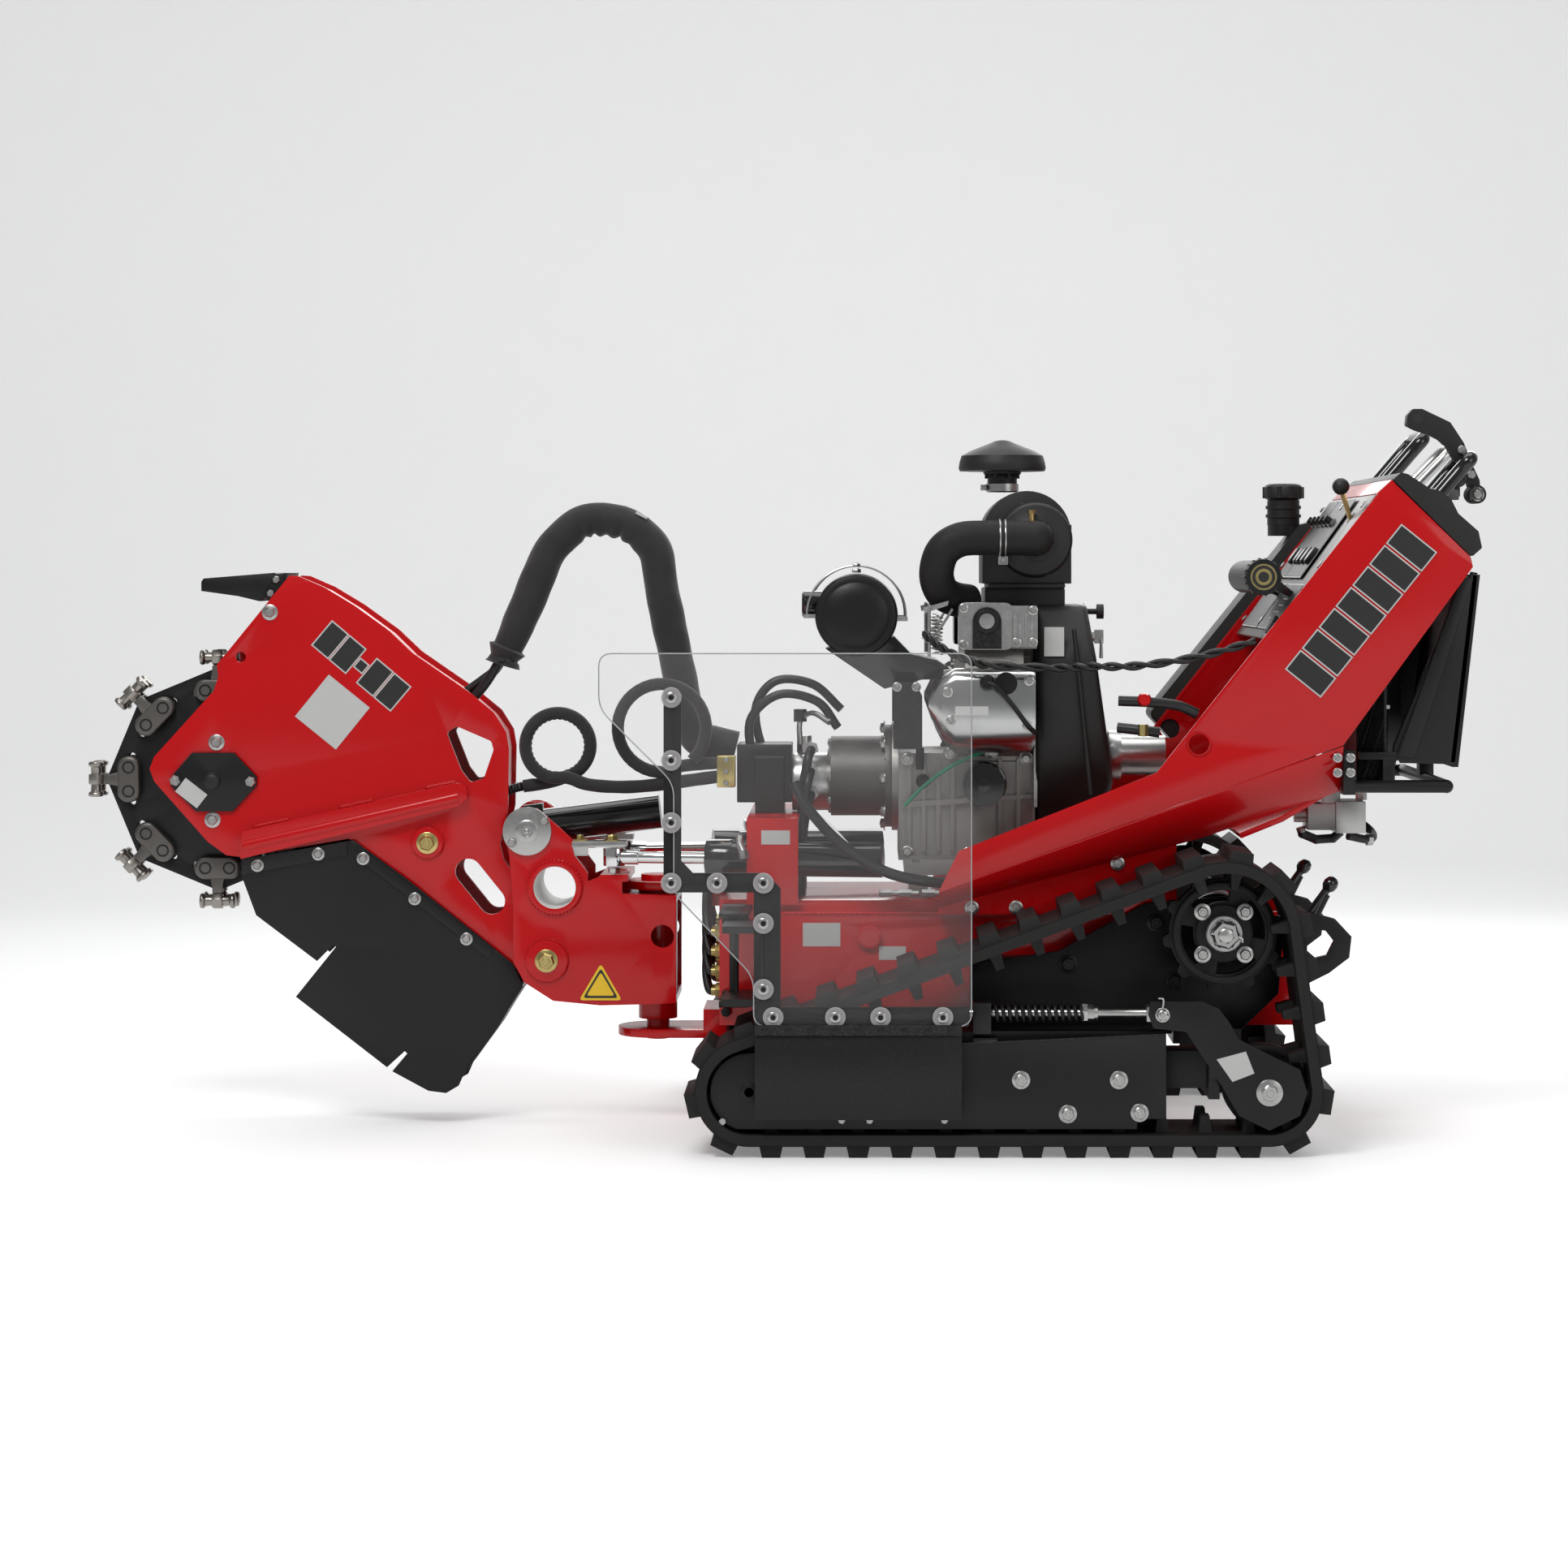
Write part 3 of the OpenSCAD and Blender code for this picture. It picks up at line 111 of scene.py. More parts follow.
def surface(name, color, rough, metal=0.0, vary=0.08, bump=0.02, scale=60.0, wear=0.0,
            wear_color=(0.35, 0.34, 0.33), coat=0.0, tint=0.12, grain=(1, 1, 1), spec=0.5):
    """Procedural finish: colour and roughness vary with noise, edges can be worn, fine bump."""
    mat, tree, bsdf, coord = new_material(name)
    grained = shade(tree, "Mapping", {"Vector": coord, "Scale": grain})["Vector"]
    fine = shade(tree, "TexNoise", {"Vector": grained, "Scale": scale, "Detail": 6})["Fac"]
    broad = shade(tree, "TexNoise", {"Vector": coord, "Scale": 5.0, "Detail": 3})["Fac"]
    tone = blend_colors(tree, broad, rgba(color, 1 - tint), rgba(color, 1 + tint))
    if wear > 0:
        point = shade(tree, "NewGeometry", {})["Pointiness"]
        edge = shade(tree, "MapRange", {"Value": point, "From Min": 0.56, "From Max": 0.68})
        gate = shade(tree, "MapRange", {"Value": fine, "From Min": 0.45, "From Max": 0.62,
                                        "To Max": wear})
        mask = shade(tree, "Math", {0: edge["Result"], 1: gate["Result"]}, operation="MULTIPLY")
        tone = blend_colors(tree, mask["Value"], tone, rgba(wear_color))
    shine = shade(tree, "MapRange", {"Value": fine, "To Min": max(0.02, rough - vary),
                                     "To Max": min(1.0, rough + vary)})["Result"]
    relief = shade(tree, "Bump", {"Height": fine, "Strength": bump, "Distance": 0.001})["Normal"]
    fill(tree, bsdf, {"Base Color": tone, "Roughness": shine, "Normal": relief,
                      "Metallic": metal, "Coat Weight": coat, "Coat Roughness": 0.08,
                      "Specular IOR Level": spec})
    return mat


def weave(name, color):
    """Woven nylon sleeve: crossing fine waves give the threads."""
    mat, tree, bsdf, coord = new_material(name)
    waves = [shade(tree, "TexWave", {"Vector": coord, "Scale": 150, "Distortion": 0.6},
                   bands_direction=direction)["Fac"] for direction in "XZ"]
    both = shade(tree, "Math", {0: waves[0], 1: waves[1]}, operation="MAXIMUM")["Value"]
    folds = shade(tree, "TexNoise", {"Vector": coord, "Scale": 28, "Detail": 4})["Fac"]
    thread = shade(tree, "Bump", {"Height": both, "Strength": 0.25, "Distance": 0.0004})
    crease = shade(tree, "Bump", {"Height": folds, "Strength": 0.7, "Distance": 0.004,
                                  "Normal": thread["Normal"]})
    # the colour follows the fold noise that also drives the crease bump: painted shade in the
    # creases, painted highlight on the fold tops
    fill(tree, bsdf, {"Base Color": blend_colors(tree, folds, rgba(color, 0.7), rgba(color, 1.7)),
                      "Roughness": 0.85, "Sheen Weight": 0.25, "Normal": crease["Normal"]})
    return mat


def clear_sheet(name, alpha):
    """Thin clear plastic: mostly see-through, a little grey, soft scratches in the gloss."""
    mat, tree, bsdf, coord = new_material(name)
    scratch = shade(tree, "TexNoise", {"Vector": coord, "Scale": 40})["Fac"]
    rough = shade(tree, "MapRange", {"Value": scratch, "To Min": 0.04, "To Max": 0.14})
    fill(tree, bsdf, {"Base Color": (0.62, 0.60, 0.60, 1), "Alpha": alpha,
                      "Roughness": rough["Result"]})
    return mat


M = {
    "red": surface("red_paint", (0.5, 0.002, 0.004), 0.24, vary=0.05, bump=0.05, scale=140,
                   spec=0.25, coat=0.35, tint=0.06, wear=0.25, wear_color=(0.5, 0.03, 0.03)),
    "black": surface("black_paint", (0.008, 0.008, 0.0085), 0.4, vary=0.1, bump=0.06, scale=220,
                     wear=0.4, wear_color=(0.05, 0.05, 0.05), spec=0.35),
    "gloss_black": surface("black_gloss", (0.009, 0.009, 0.01), 0.14, vary=0.05, bump=0.01,
                           coat=0.4, wear=0.3, wear_color=(0.06, 0.06, 0.06)),
    "plastic": surface("black_plastic", (0.010, 0.0095, 0.009), 0.5, vary=0.08, bump=0.25,
                       scale=700),
    "rubber": surface("track_rubber", (0.013, 0.012, 0.0115), 0.62, vary=0.14, bump=0.35, scale=90,
                      wear=0.5, wear_color=(0.04, 0.037, 0.035), spec=0.3),
    "hose": surface("hose_rubber", (0.009, 0.009, 0.0095), 0.4, vary=0.1, bump=0.12, scale=260),
    "chrome": surface("chrome", (0.78, 0.78, 0.78), 0.09, metal=1, vary=0.04, bump=0.01,
                      tint=0.03),
    "zinc": surface("zinc", (0.5, 0.5, 0.49), 0.33, metal=1, vary=0.12, bump=0.05, scale=120,
                    tint=0.14, wear=0.3, wear_color=(0.85, 0.85, 0.84)),
    "yellow_zinc": surface("yellow_zinc", (0.62, 0.5, 0.2), 0.3, metal=1, vary=0.1, bump=0.05,
                           tint=0.2),
    "cast": surface("cast_aluminium", (0.3, 0.29, 0.275), 0.45, metal=0.85, vary=0.12, bump=0.5,
                    scale=420, tint=0.15),
    "dark_cast": surface("dark_cast", (0.13, 0.125, 0.12), 0.5, metal=0.75, vary=0.12, bump=0.3,
                         scale=300, tint=0.15),
    "tool": surface("tool_steel", (0.16, 0.15, 0.14), 0.45, metal=0.9, vary=0.15, bump=0.2,
                    scale=180, tint=0.25, wear=0.8, wear_color=(0.5, 0.48, 0.45)),
    "carbide": surface("carbide", (0.36, 0.34, 0.31), 0.35, metal=1, vary=0.15, bump=0.1,
                       scale=150, tint=0.2),
    "panel": surface("brushed_panel", (0.15, 0.145, 0.14), 0.4, metal=0.4, vary=0.05, bump=0.02,
                     scale=90, grain=(1, 14, 1)),
    "brushed": surface("turned_aluminium", (0.6, 0.6, 0.59), 0.3, metal=1, vary=0.06, bump=0.02,
                       scale=24, grain=(5, 1, 1)),
    "shroud": surface("bright_shroud", (0.55, 0.56, 0.55), 0.22, metal=1, vary=0.05, bump=0.01,
                      scale=16, tint=0.08),
    "label": surface("blank_label", (0.5, 0.5, 0.49), 0.4, bump=0.02, tint=0.03),
    "ink": surface("dark_ink", (0.02, 0.02, 0.02), 0.4, bump=0.02),
    "yellow": surface("sign_yellow", (0.85, 0.55, 0.02), 0.4, bump=0.02, tint=0.04),
    # white of the drain tube, and also the painted highlight inside the swing frame's cross tube
    "white": surface("tube_white_and_painted_glare", (0.8, 0.8, 0.78), 0.5, bump=0.05),
    "brass": surface("brass", (0.6, 0.42, 0.18), 0.3, metal=1, vary=0.1, bump=0.1),
    "green": surface("wire_green", (0.02, 0.22, 0.12), 0.45, bump=0.05),
    "sleeve": weave("woven_sleeve", (0.013, 0.012, 0.0135)),
    "glass": clear_sheet("clear_sheet", 0.045),
    "clear_washer": clear_sheet("clear_washer", 0.45),
    "plexi_edge": surface("plexi_edge", (0.35, 0.36, 0.37), 0.25, bump=0.02),
}


# ---------------------------------------------------------------- mesh helpers, millimetres in
def soften(obj, width, segments, limit, split):
    """Bevel the sharp edges, and split the shading at those that stay sharp."""
    if width:
        mod = obj.modifiers.new("bevel", "BEVEL")
        mod.width, mod.segments = width * MM, segments
        mod.limit_method, mod.angle_limit = "ANGLE", radians(limit)
    if split:
        obj.modifiers.new("split", "EDGE_SPLIT").split_angle = radians(split)


def turn(n, start=0.0, step=None):
    """Cosine and sine of n directions round a circle, from start by step degrees."""
    angles = [radians(start + k * (step or 360 / n)) for k in range(n)]
    return [(cos(t), sin(t)) for t in angles]


def hoop(outer, inner, lo, hi):
    """Closed lathe profile of a flat ring."""
    return [(lo, outer), (hi, outer), (hi, inner), (lo, inner), (lo, outer)]


class Build:
    """Collects several shapes into one mesh."""

    def __init__(self):
        self.verts, self.faces = [], []

    def add(self, verts, faces):
        base = len(self.verts)
        self.verts += [tuple(v) for v in verts]
        self.faces += [[base + i for i in f] for f in faces]

    def skin(self, verts, n, caps=True, closed=False):
        """Faces over rings of n points each, joined one to the next."""
        m = len(verts) // n
        faces = [[i * n + k, i * n + (k + 1) % n, (i + 1) % m * n + (k + 1) % n,
                  (i + 1) % m * n + k] for i in range(m if closed else m - 1) for k in range(n)]
        if caps:
            faces += [list(range(n)), list(range((m - 1) * n, m * n))]
        self.add(verts, faces)

    def slab(self, corners, thick):
        """Flat outline given thickness by a vector."""
        corners = [Vector(c) for c in corners]
        self.skin(corners + [c + Vector(thick) for c in corners], len(corners))

    def plate(self, pts, y0, y1):
        """Side-view outline between two y levels."""
        self.skin([(x, y, z) for y in (y0, y1) for x, z in pts], len(pts))

    def box(self, lo, hi):
        self.plate([(lo[0], lo[2]), (hi[0], lo[2]), (hi[0], hi[2]), (lo[0], hi[2])], lo[1], hi[1])

    def lathe(self, profile, origin, axis=None, n=32):
        """Profile of (along, radius) turned about an axis through origin.

        The axis, here and in bolt, is across the machine and outward if none is given.
        """
        a = Vector(axis or (0, origin[1], 0)).normalized()
        u = a.orthogonal().normalized()
        w = a.cross(u)
        verts = [Vector(origin) + a * s + (u * c + w * d) * max(r, 0.01)
                 for s, r in profile for c, d in turn(n)]
        self.skin(verts, n, caps=profile[0] != profile[-1])

    def cyl(self, a, b, r, n=24):
        d = Vector(b) - Vector(a)
        self.lathe([(0, r), (d.length, r)], a, d, n)

    def tube(self, pts, r, n=16, smooth=6, closed=False, radius=None):
        """Swept tube along a smoothed path; radius(t, point, direction) may vary it."""
        path = curve(pts, smooth, closed)
        verts = []
        for i, (p, (u, w)) in enumerate(zip(path, transport(path, closed))):
            for k, (c, s) in enumerate(turn(n)):
                d = u * c + w * s
                verts.append(p + d * (radius(i / (len(path) - 1), p, d, 2 * pi * k / n)
                                      if radius else r))
        self.skin(verts, n, caps=not closed, closed=closed)

    def bolt(self, p, axis=None, r=9, h=6, washer=0.0, n=6):
        """Hexagon head with a chamfered top, and a washer under it."""
        a, o = Vector(axis or (0, p[1], 0)).normalized(), Vector(p)
        if washer:
            self.lathe([(0, washer), (1.6, washer), (2.0, washer - 0.6)], o, a, 24)
            o = o + a * 2.0
        self.lathe([(0, r), (h * 0.75, r), (h, r * 0.82)], o, a, n)
        self.lathe([(h, r * 0.45), (h + 1.2, r * 0.4)], o, a, 12)

    def bolts(self, spots, y, **size):
        """Bolts at (x, z) on a side face at y, heads outward."""
        for x, z in spots:
            self.bolt((x, y, z), **size)

    def done(self, name, finish, body="chassis", smooth=True, bevel=0.0, replaces=(), angle=35):
        """Make the piece, riding on a CAD body."""
        data = bpy.data.meshes.new(name)
        data.from_pydata([Vector(v) * MM for v in self.verts], [], self.faces)
        bm = bmesh.new()
        bm.from_mesh(data)
        bmesh.ops.remove_doubles(bm, verts=bm.verts, dist=1e-6)
        bmesh.ops.recalc_face_normals(bm, faces=bm.faces)
        bm.to_mesh(data)
        bm.free()
        obj = bpy.data.objects.new(name, data)
        bpy.context.scene.collection.objects.link(obj)
        data.materials.append(M[finish])
        for poly in data.polygons:
            poly.use_smooth = smooth
        soften(obj, bevel, 2, angle, 42 if smooth else 0)
        if body:
            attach(obj, body)
        if replaces:
            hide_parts(*replaces)
        return obj


def builds(n):
    return [Build() for _ in range(n)]


def curve(pts, steps=6, closed=False):
    """Catmull-Rom curve through the points."""
    p = [Vector(q) for q in pts]
    if steps <= 1:
        return p
    n = len(p)
    out = []
    for i in range(n if closed else n - 1):
        a = p[(i - 1) % n] if closed or i else p[0] * 2 - p[1]
        b, c = p[i], p[(i + 1) % n]
        d = p[(i + 2) % n] if closed or i + 2 < n else c * 2 - b
        for k in range(steps):
            t = k / steps
            out.append(0.5 * ((2 * b) + (c - a) * t + (2 * a - 5 * b + 4 * c - d) * t * t
                              + (3 * b - a - 3 * c + d) * t ** 3))
    if not closed:
        out.append(p[-1])
    return out


def transport(path, closed=False):
    """Two directions across the path that turn as little as possible along it."""
    m = len(path)
    tangents = []
    for i in range(m):
        a = path[(i - 1) % m] if closed or i else path[0]
        b = path[(i + 1) % m] if closed or i < m - 1 else path[-1]
        tangents.append((b - a).normalized())
    u = tangents[0].orthogonal().normalized()
    frames = []
    for t in tangents:
        u = (u - t * u.dot(t)).normalized()
        frames.append((u, t.cross(u)))
    return frames


def rounded(pts, r, seg=5):
    """Outline with its corners rounded to radius r (or less on short edges)."""
    out = []
    n = len(pts)
    for i in range(n):
        a, b, c = (Vector(pts[(i + k) % n]) for k in (-1, 0, 1))
        d0, d1 = (a - b), (c - b)
        cut = min(r, d0.length * 0.45, d1.length * 0.45)
        p0, p1 = b + d0.normalized() * cut, b + d1.normalized() * cut
        for k in range(seg + 1):
            t = k / seg
            out.append(tuple(p0 * (1 - t) ** 2 + b * 2 * t * (1 - t) + p1 * t * t))
    return out


# ---------------------------------------------------------------- finishes of the CAD nodes
# only the nodes that stay in view; the others are replaced by pieces of their own below
FINISH = {
    "red": ["chassis_frame", "tower_frame", "swing_frame", "head_frame"],
    "black": ["oil_cooler", "cooler_guard", "tie_down_hooks", "track_frames",
              "idler_carriage_left", "idler_carriage_right", "shield_bracket", "chip_guards",
              "hub_covers", "cutter_wheel", "valve_block"],
    "gloss_black": ["swing_barrel_left", "swing_barrel_right", "lift_barrel", "oil_filter",
                    "muffler"],
    "plastic": ["tower_end_cap", "flywheel_shroud", "choke_knob", "fuel_tank", "presence_grip"],
    "rubber": ["track_belts", "sprocket_left", "sprocket_right", "front_idler_left",
               "front_idler_right", "rear_idler_left", "rear_idler_right"],
    "chrome": ["swing_rod_left", "swing_rod_right", "lift_rod"],
    "zinc": ["rear_valve", "ignition_key"],
    "cast": ["engine_block"],
    "brushed": ["hydraulic_units"],
    "dark_cast": ["bell_housing"],
    "panel": ["control_panel"],
    "glass": ["shield_sheet"],
}
BEVEL_MM = {"chassis_frame": 3, "tower_frame": 1.5, "head_frame": 2, "swing_frame": 2,
            "track_belts": 2.5, "engine_block": 4, "flywheel_shroud": 14, "fuel_tank": 8,
            "valve_block": 3, "cutter_wheel": 2, "tower_end_cap": 4, "presence_grip": 4,
            "muffler": 5, "oil_filter": 4, "shield_sheet": 0}
SMALLEST_EDGE = 1.0


def dress(node, mat):
    obj = NODES[node]
    obj.data.materials.clear()
    obj.data.materials.append(mat)
    for poly in obj.data.polygons:
        poly.material_index = 0
        poly.use_smooth = True
    obj.modifiers.new("weld", "WELD").merge_threshold = 0.00002
    width = BEVEL_MM.get(node, SMALLEST_EDGE)
    soften(obj, width, 3 if width > 2 else 2, 38, 40)


for finish_name, names in FINISH.items():
    for node_name in names:
        dress(node_name, M[finish_name])


def paint(node, mat, test):
    """Second finish on those faces of a CAD node whose centre passes the test (x, |y|, z)."""
    obj = NODES[node]
    obj.data.materials.append(mat)
    slot = len(obj.data.materials) - 1
    for poly in obj.data.polygons:
        c = obj.matrix_world @ poly.center * 1000
        if test(c.x, abs(c.y), c.z):
            poly.material_index = slot


TRUN = JOINT["lift_cylinder_tilt"]
paint("swing_frame", M["zinc"], lambda x, y, z: (x > -741 and z > 469)
      or (y > 96.2 and hypot(x - TRUN.x, z - TRUN.z) < 43))
paint("hydraulic_units", M["black"], lambda x, y, z: y > 100)
paint("rear_valve", M["hose"], lambda x, y, z: z < 504.5)
for _, side_name in SIDES:
    paint("idler_carriage_" + side_name, M["zinc"],
          lambda x, y, z: (x < 268.5 and 223 < z < 252 and y < 437)
          or (y > 436.5 and hypot(x - 251, z - 236) < 11))

# ---------------------------------------------------------------- grinding head
CUT = JOINT["cutter_spin"]
LIFT = JOINT["boom_lift"]
HEAD_Y = 72


def build_teeth():
    """Eight stations on the rim, each with a pocket, two screws and a tooth on both faces."""
    holders, screws, teeth = builds(3)
    for ca, sa in turn(8):
        out, along = Vector((ca, 0, sa)), Vector((-sa, 0, ca))
        for sy in BOTH:
            n = Vector((0, sy, 0))
            face = CUT + n * 12.6
            c = face + out * 156
            ring = [out * (20 * ct) + along * ((21 if st > 0 else -21) + 20 * st)
                    for ct, st in turn(28)]
            holders.skin([c + n * depth + p * grow
                          for depth, grow in ((0, 1), (12, 1), (15.5, 0.88)) for p in ring], 28)
            for s in BOTH:
                p = c + along * s * 21 + n * 15.6
                screws.lathe([(-2, 11), (0.4, 11), (0.6, 8.2), (-3, 8), (-3.2, 0.1)], p, n, 20)
                screws.lathe([(-3.4, 6), (-3.1, 6), (-3.1, 3.2), (-6, 3)], p, n, 6)
            # neck that carries the tooth
            holders.slab([c + n + out * a + along * b for a, b in
                          ((14, -13), (14, 13), (34, 9), (44, 9), (44, -9), (34, -9))], n * 13)
            tip = face + out * 214 + n * 8
            teeth.lathe([(-31, 8.5), (-30, 12.5), (-26, 13.5), (-23, 12), (-21, 9), (-8, 8.4),
                         (8, 8.4), (21, 9), (23, 12), (26, 13.5), (30, 12.5), (31, 8.5)],
                        tip, along, 24)
            teeth.lathe([(-9, 13.5), (-7, 14.5), (7, 14.5), (9, 13.5)], tip, along, 6)
    holders.done("tooth_pockets", "tool", "cutter", bevel=1.2, replaces=["tooth_holders"])
    screws.done("tooth_screws", "black", "cutter")
    teeth.done("carbide_teeth", "carbide", "cutter", bevel=0.6, replaces=["cutter_teeth"])


def weld_ring(build, x, z, r, y, n, bead):
    """Row of weld beads round a boss, on both sides."""
    for c, s in turn(n):
        for sy in BOTH:
            build.lathe(bead, (x + r * c, sy * y, z + r * s), (-s, 0, c), 6)


def tilted_card(build, x, y, z, deg, wide, high):
    """Blank plate on the near side, turned in its plane."""
    u = Vector((cos(radians(deg)), 0, sin(radians(deg))))
    w = Vector((-u.z, 0, u.x))
    build.slab([Vector((x, y, z)) + u * wide * i + w * high * j
                for i, j in ((-1, -1), (1, -1), (1, 1), (-1, 1))], (0, -0.5, 0))


def block_outline(start, along, across, w0, w1, high, grow):
    """Corners in x and z of a plain block on a slanting line, grown all round."""
    p0, p1, n = start + along * (w0 - grow), start + along * (w1 + grow), across * (high + grow)
    return [(p.x, p.z) for p in (p0 - n, p1 - n, p1 + n, p0 + n)]


def build_head_details():
    beads, rail, bolts, pins, plugs, card, block, pale, nose, nose_bolts = builds(10)
    # weld runs along the stiffener rail and round the bosses
    for (x0, z0), (x1, z1), n in (((-1300, 519), (-1246, 531), 16),
                                  ((-1150, 553), (-1100, 564), 14),
                                  ((-1000, 587), (-955, 596), 14)):
        for i in range(n):
            t = i / (n - 1)
            for sy in BOTH:
                beads.lathe([(-5, 1), (-3.5, 3.4), (0, 4.6), (3.5, 3.4), (5, 1)],
                            (x0 + (x1 - x0) * t, sy * (HEAD_Y + 2), z0 + (z1 - z0) * t),
                            (1, 0, 0.2), 8)
    weld_ring(beads, -1001, 491, 28, HEAD_Y + 1.5, 40,
              [(-3, 0.8), (-1.5, 2.6), (1.5, 2.6), (3, 0.8)])
    for sy in BOTH:
        y = sy * (HEAD_Y + 11)
        rail.tube([(-1320, y, 486), (-1100, y, 536), (-945, y, 571)], 13, smooth=2, n=18)
        bolts.bolts(((-1276, 893), (-1369, 666), (-1376, 531)), sy * HEAD_Y, r=9.5, h=7, washer=14)
        bolts.bolts(((-1440, 600), (-1309, 598)), sy * (HEAD_Y + 6), r=10, h=7)
        bolts.bolts(((-1296, 452), (-1190, 472), (-1112, 464), (-1022, 394), (-932, 324)),
                    sy * (HEAD_Y + 10), r=7.5, h=5.5, washer=11)
        pins.bolts(((-1001, 491),), sy * (HEAD_Y + 5), r=14, h=9, washer=19)
        plugs.lathe([(0, 15), (7, 15), (10, 12), (11, 4)],
                    CUT + Vector((0, sy * (HEAD_Y + 6), 0)), n=28)
    beads.done("head_weld_beads", "red", "head")
    rail.done("rail_round_edge", "red", "head")
    bolts.done("head_fasteners", "zinc", "head", replaces=["head_bolts"])
    pins.done("rod_pin_bolts", "yellow_zinc", "head")
    plugs.done("hub_plugs", "plastic", "head")
    tilted_card(card, -1412, -HEAD_Y - 6.3, 578, -38, 24, 15)
    tilted_card(card, -1167, -HEAD_Y - 0.3, 719, -39, 46, 47)
    card.done("head_blank_plates", "label", "head", smooth=False)
    # plain blocks with a pale outline, no characters
    for w0, w1, high in ((0, 34, 26), (40, 74, 26), (80, 96, 8), (102, 136, 26), (142, 176, 26)):
        for grow, depth, build in ((2.5, 0.4, pale), (0, 0.8, block)):
            build.plate(block_outline(Vector((-1184, 0, 856)), Vector((0.766, 0, -0.643)),
                                      Vector((0.643, 0, 0.766)), w0, w1, high, grow),
                        -HEAD_Y - depth, -HEAD_Y)
    block.done("head_stripe", "ink", "head", smooth=False)
    pale.done("head_stripe_outline", "label", "head", smooth=False)
    # bracket of the front flap
    nose.plate([(-1290, 918), (-1268, 960), (-1246, 962), (-1264, 905)], -64, 64)
    nose.done("nose_bracket", "black", "head", bevel=2)
    nose_bolts.bolts(((-1266, 950), (-1276, 926)), -64, r=7, h=5)
    nose_bolts.done("nose_bolts", "zinc", "head")


build_teeth()
build_head_details()


# ---------------------------------------------------------------- swing frame and cylinders
def build_swing_details():
    caps, pins, nuts, sign, border, beads, tube = builds(7)
    for sy in BOTH:
        y = sy * 102
        caps.lathe([(0, 20), (1.5, 20), (3, 17), (3.2, 10), (1, 9), (1, 5), (4, 4), (5, 2)],
                   (TRUN.x, y, TRUN.z), n=28)
        caps.bolts(((TRUN.x - 26, TRUN.z - 20), (TRUN.x + 30, TRUN.z + 18)), y, r=8, h=6)
        pins.bolt((LIFT.x, y, LIFT.z), r=15, h=10, washer=20)
        for x, r in ((-733, 7), (-678, 10)):
            pins.bolt((x, sy * 92, 496), (0, 0, 1), r=r, h=8, washer=14)
        nuts.bolt((-674, sy * 92, 449), (0, 0, -1), r=11, h=9)
    caps.done("trunnion_screws", "zinc", "swing")
    pins.done("yellow_zinc_bolts", "yellow_zinc", "swing")
    nuts.done("strap_nuts", "zinc", "swing")
    sign.plate(rounded([(-735, 219), (-660, 219), (-697, 283)], 8), -96.8, -96.4)
    sign.done("blank_sign", "yellow", "swing", smooth=False)
    pts = (rounded([(-728, 223), (-667, 223), (-697, 275)], 6)
           + rounded([(-722, 227), (-673, 227), (-697, 268)], 5))
    border.skin([(x, -97.1, z) for x, z in pts], len(pts) // 2, caps=False)
    border.done("sign_border", "ink", "swing", smooth=False)
    weld_ring(beads, -777, 415, 47, 98, 44, [(-4, 0.8), (-2, 3), (2, 3), (4, 0.8)])
    weld_ring(beads, LIFT.x, LIFT.z, 37, 98, 44, [(-3.4, 0.8), (-2, 2.4), (2, 2.4), (3.4, 0.8)])
    beads.done("swing_weld_beads", "red", "swing")
    # white ring inside the cross tube: painted highlight, the glare of strong light on the tube's
    # inner wall
    tube.lathe(hoop(37.2, 36.2, -98, 98), (-777, 0, 415), (0, 1, 0), 40)
    tube.done("cross_tube_painted_glare", "white", "swing")


build_swing_details()


# ---------------------------------------------------------------- fabric hoses of the boom
ARCH = [(-878, 0, 800), (-870, 0, 824), (-832, 0, 911), (-799, 0, 990), (-772, 0, 1025),
        (-739, 0, 1049), (-704, 0, 1055), (-663, 0, 1049), (-630, 0, 1028), (-606, 0, 995),
        (-598, 0, 942), (-582, 0, 862), (-568, 0, 795), (-554, 0, 724), (-535, 0, 672),
        (-506, 0, 662), (-466, 0, 652)]
APEX = 6
SLEEVE_R = 30
# gathers of the sleeve: centre x and z, width along the path, depth
FOLDS = [(-742, 1020, 9, 0.16), (-718, 1028, 7, 0.22), (-690, 1028, 8, 0.18),
         (-664, 1020, 7, 0.24), (-640, 1000, 9, 0.14), (-590, 975, 9, 0.26),
         (-546, 700, 8, 0.3), (-818, 960, 10, 0.1)]
BEND = Vector((-702, 0, 930))


def sleeve_radius(t, p, d, ang):
    """Woven sleeve: smooth, with a few folds on the inner side of the bends."""
    inner = max(0.0, (BEND - p).normalized().dot(d))
    r = 1.0
    for x, z, width, depth in FOLDS:
        far = hypot(p.x - x, p.z - z - 28) / width
        r -= depth * (inner if z > 760 else 0.5 + 0.5 * d.x) * exp(-far * far)
    r += 0.018 * sin(p.z * 0.05 + ang * 2) + 0.012 * sin(p.z * 0.11 - ang * 3)
    if p.x < -868:
        r *= 0.8 + 0.25 * abs(p.z - 812) / 12
    elif p.x < -850:
        r *= 0.86 + 0.14 * (p.x + 868) / 18
    return SLEEVE_R * r


def loop_radius(r, center):
    """Woven hose of a loop: small gathers on the inner side."""
    def radius(t, p, d, ang):
        gap = center - p
        inner = max(0.0, gap.normalized().dot(d)) if gap.length < 92 else 0.2
        return r * (1 - 0.16 * inner * (0.5 + 0.5 * sin(t * 260)))
    return radius


def coil(x, z, r, start, step, count, y, dy):
    return [(x + r * c, y + i * dy, z + r * s)
            for i, (c, s) in enumerate(turn(count, start, step))]


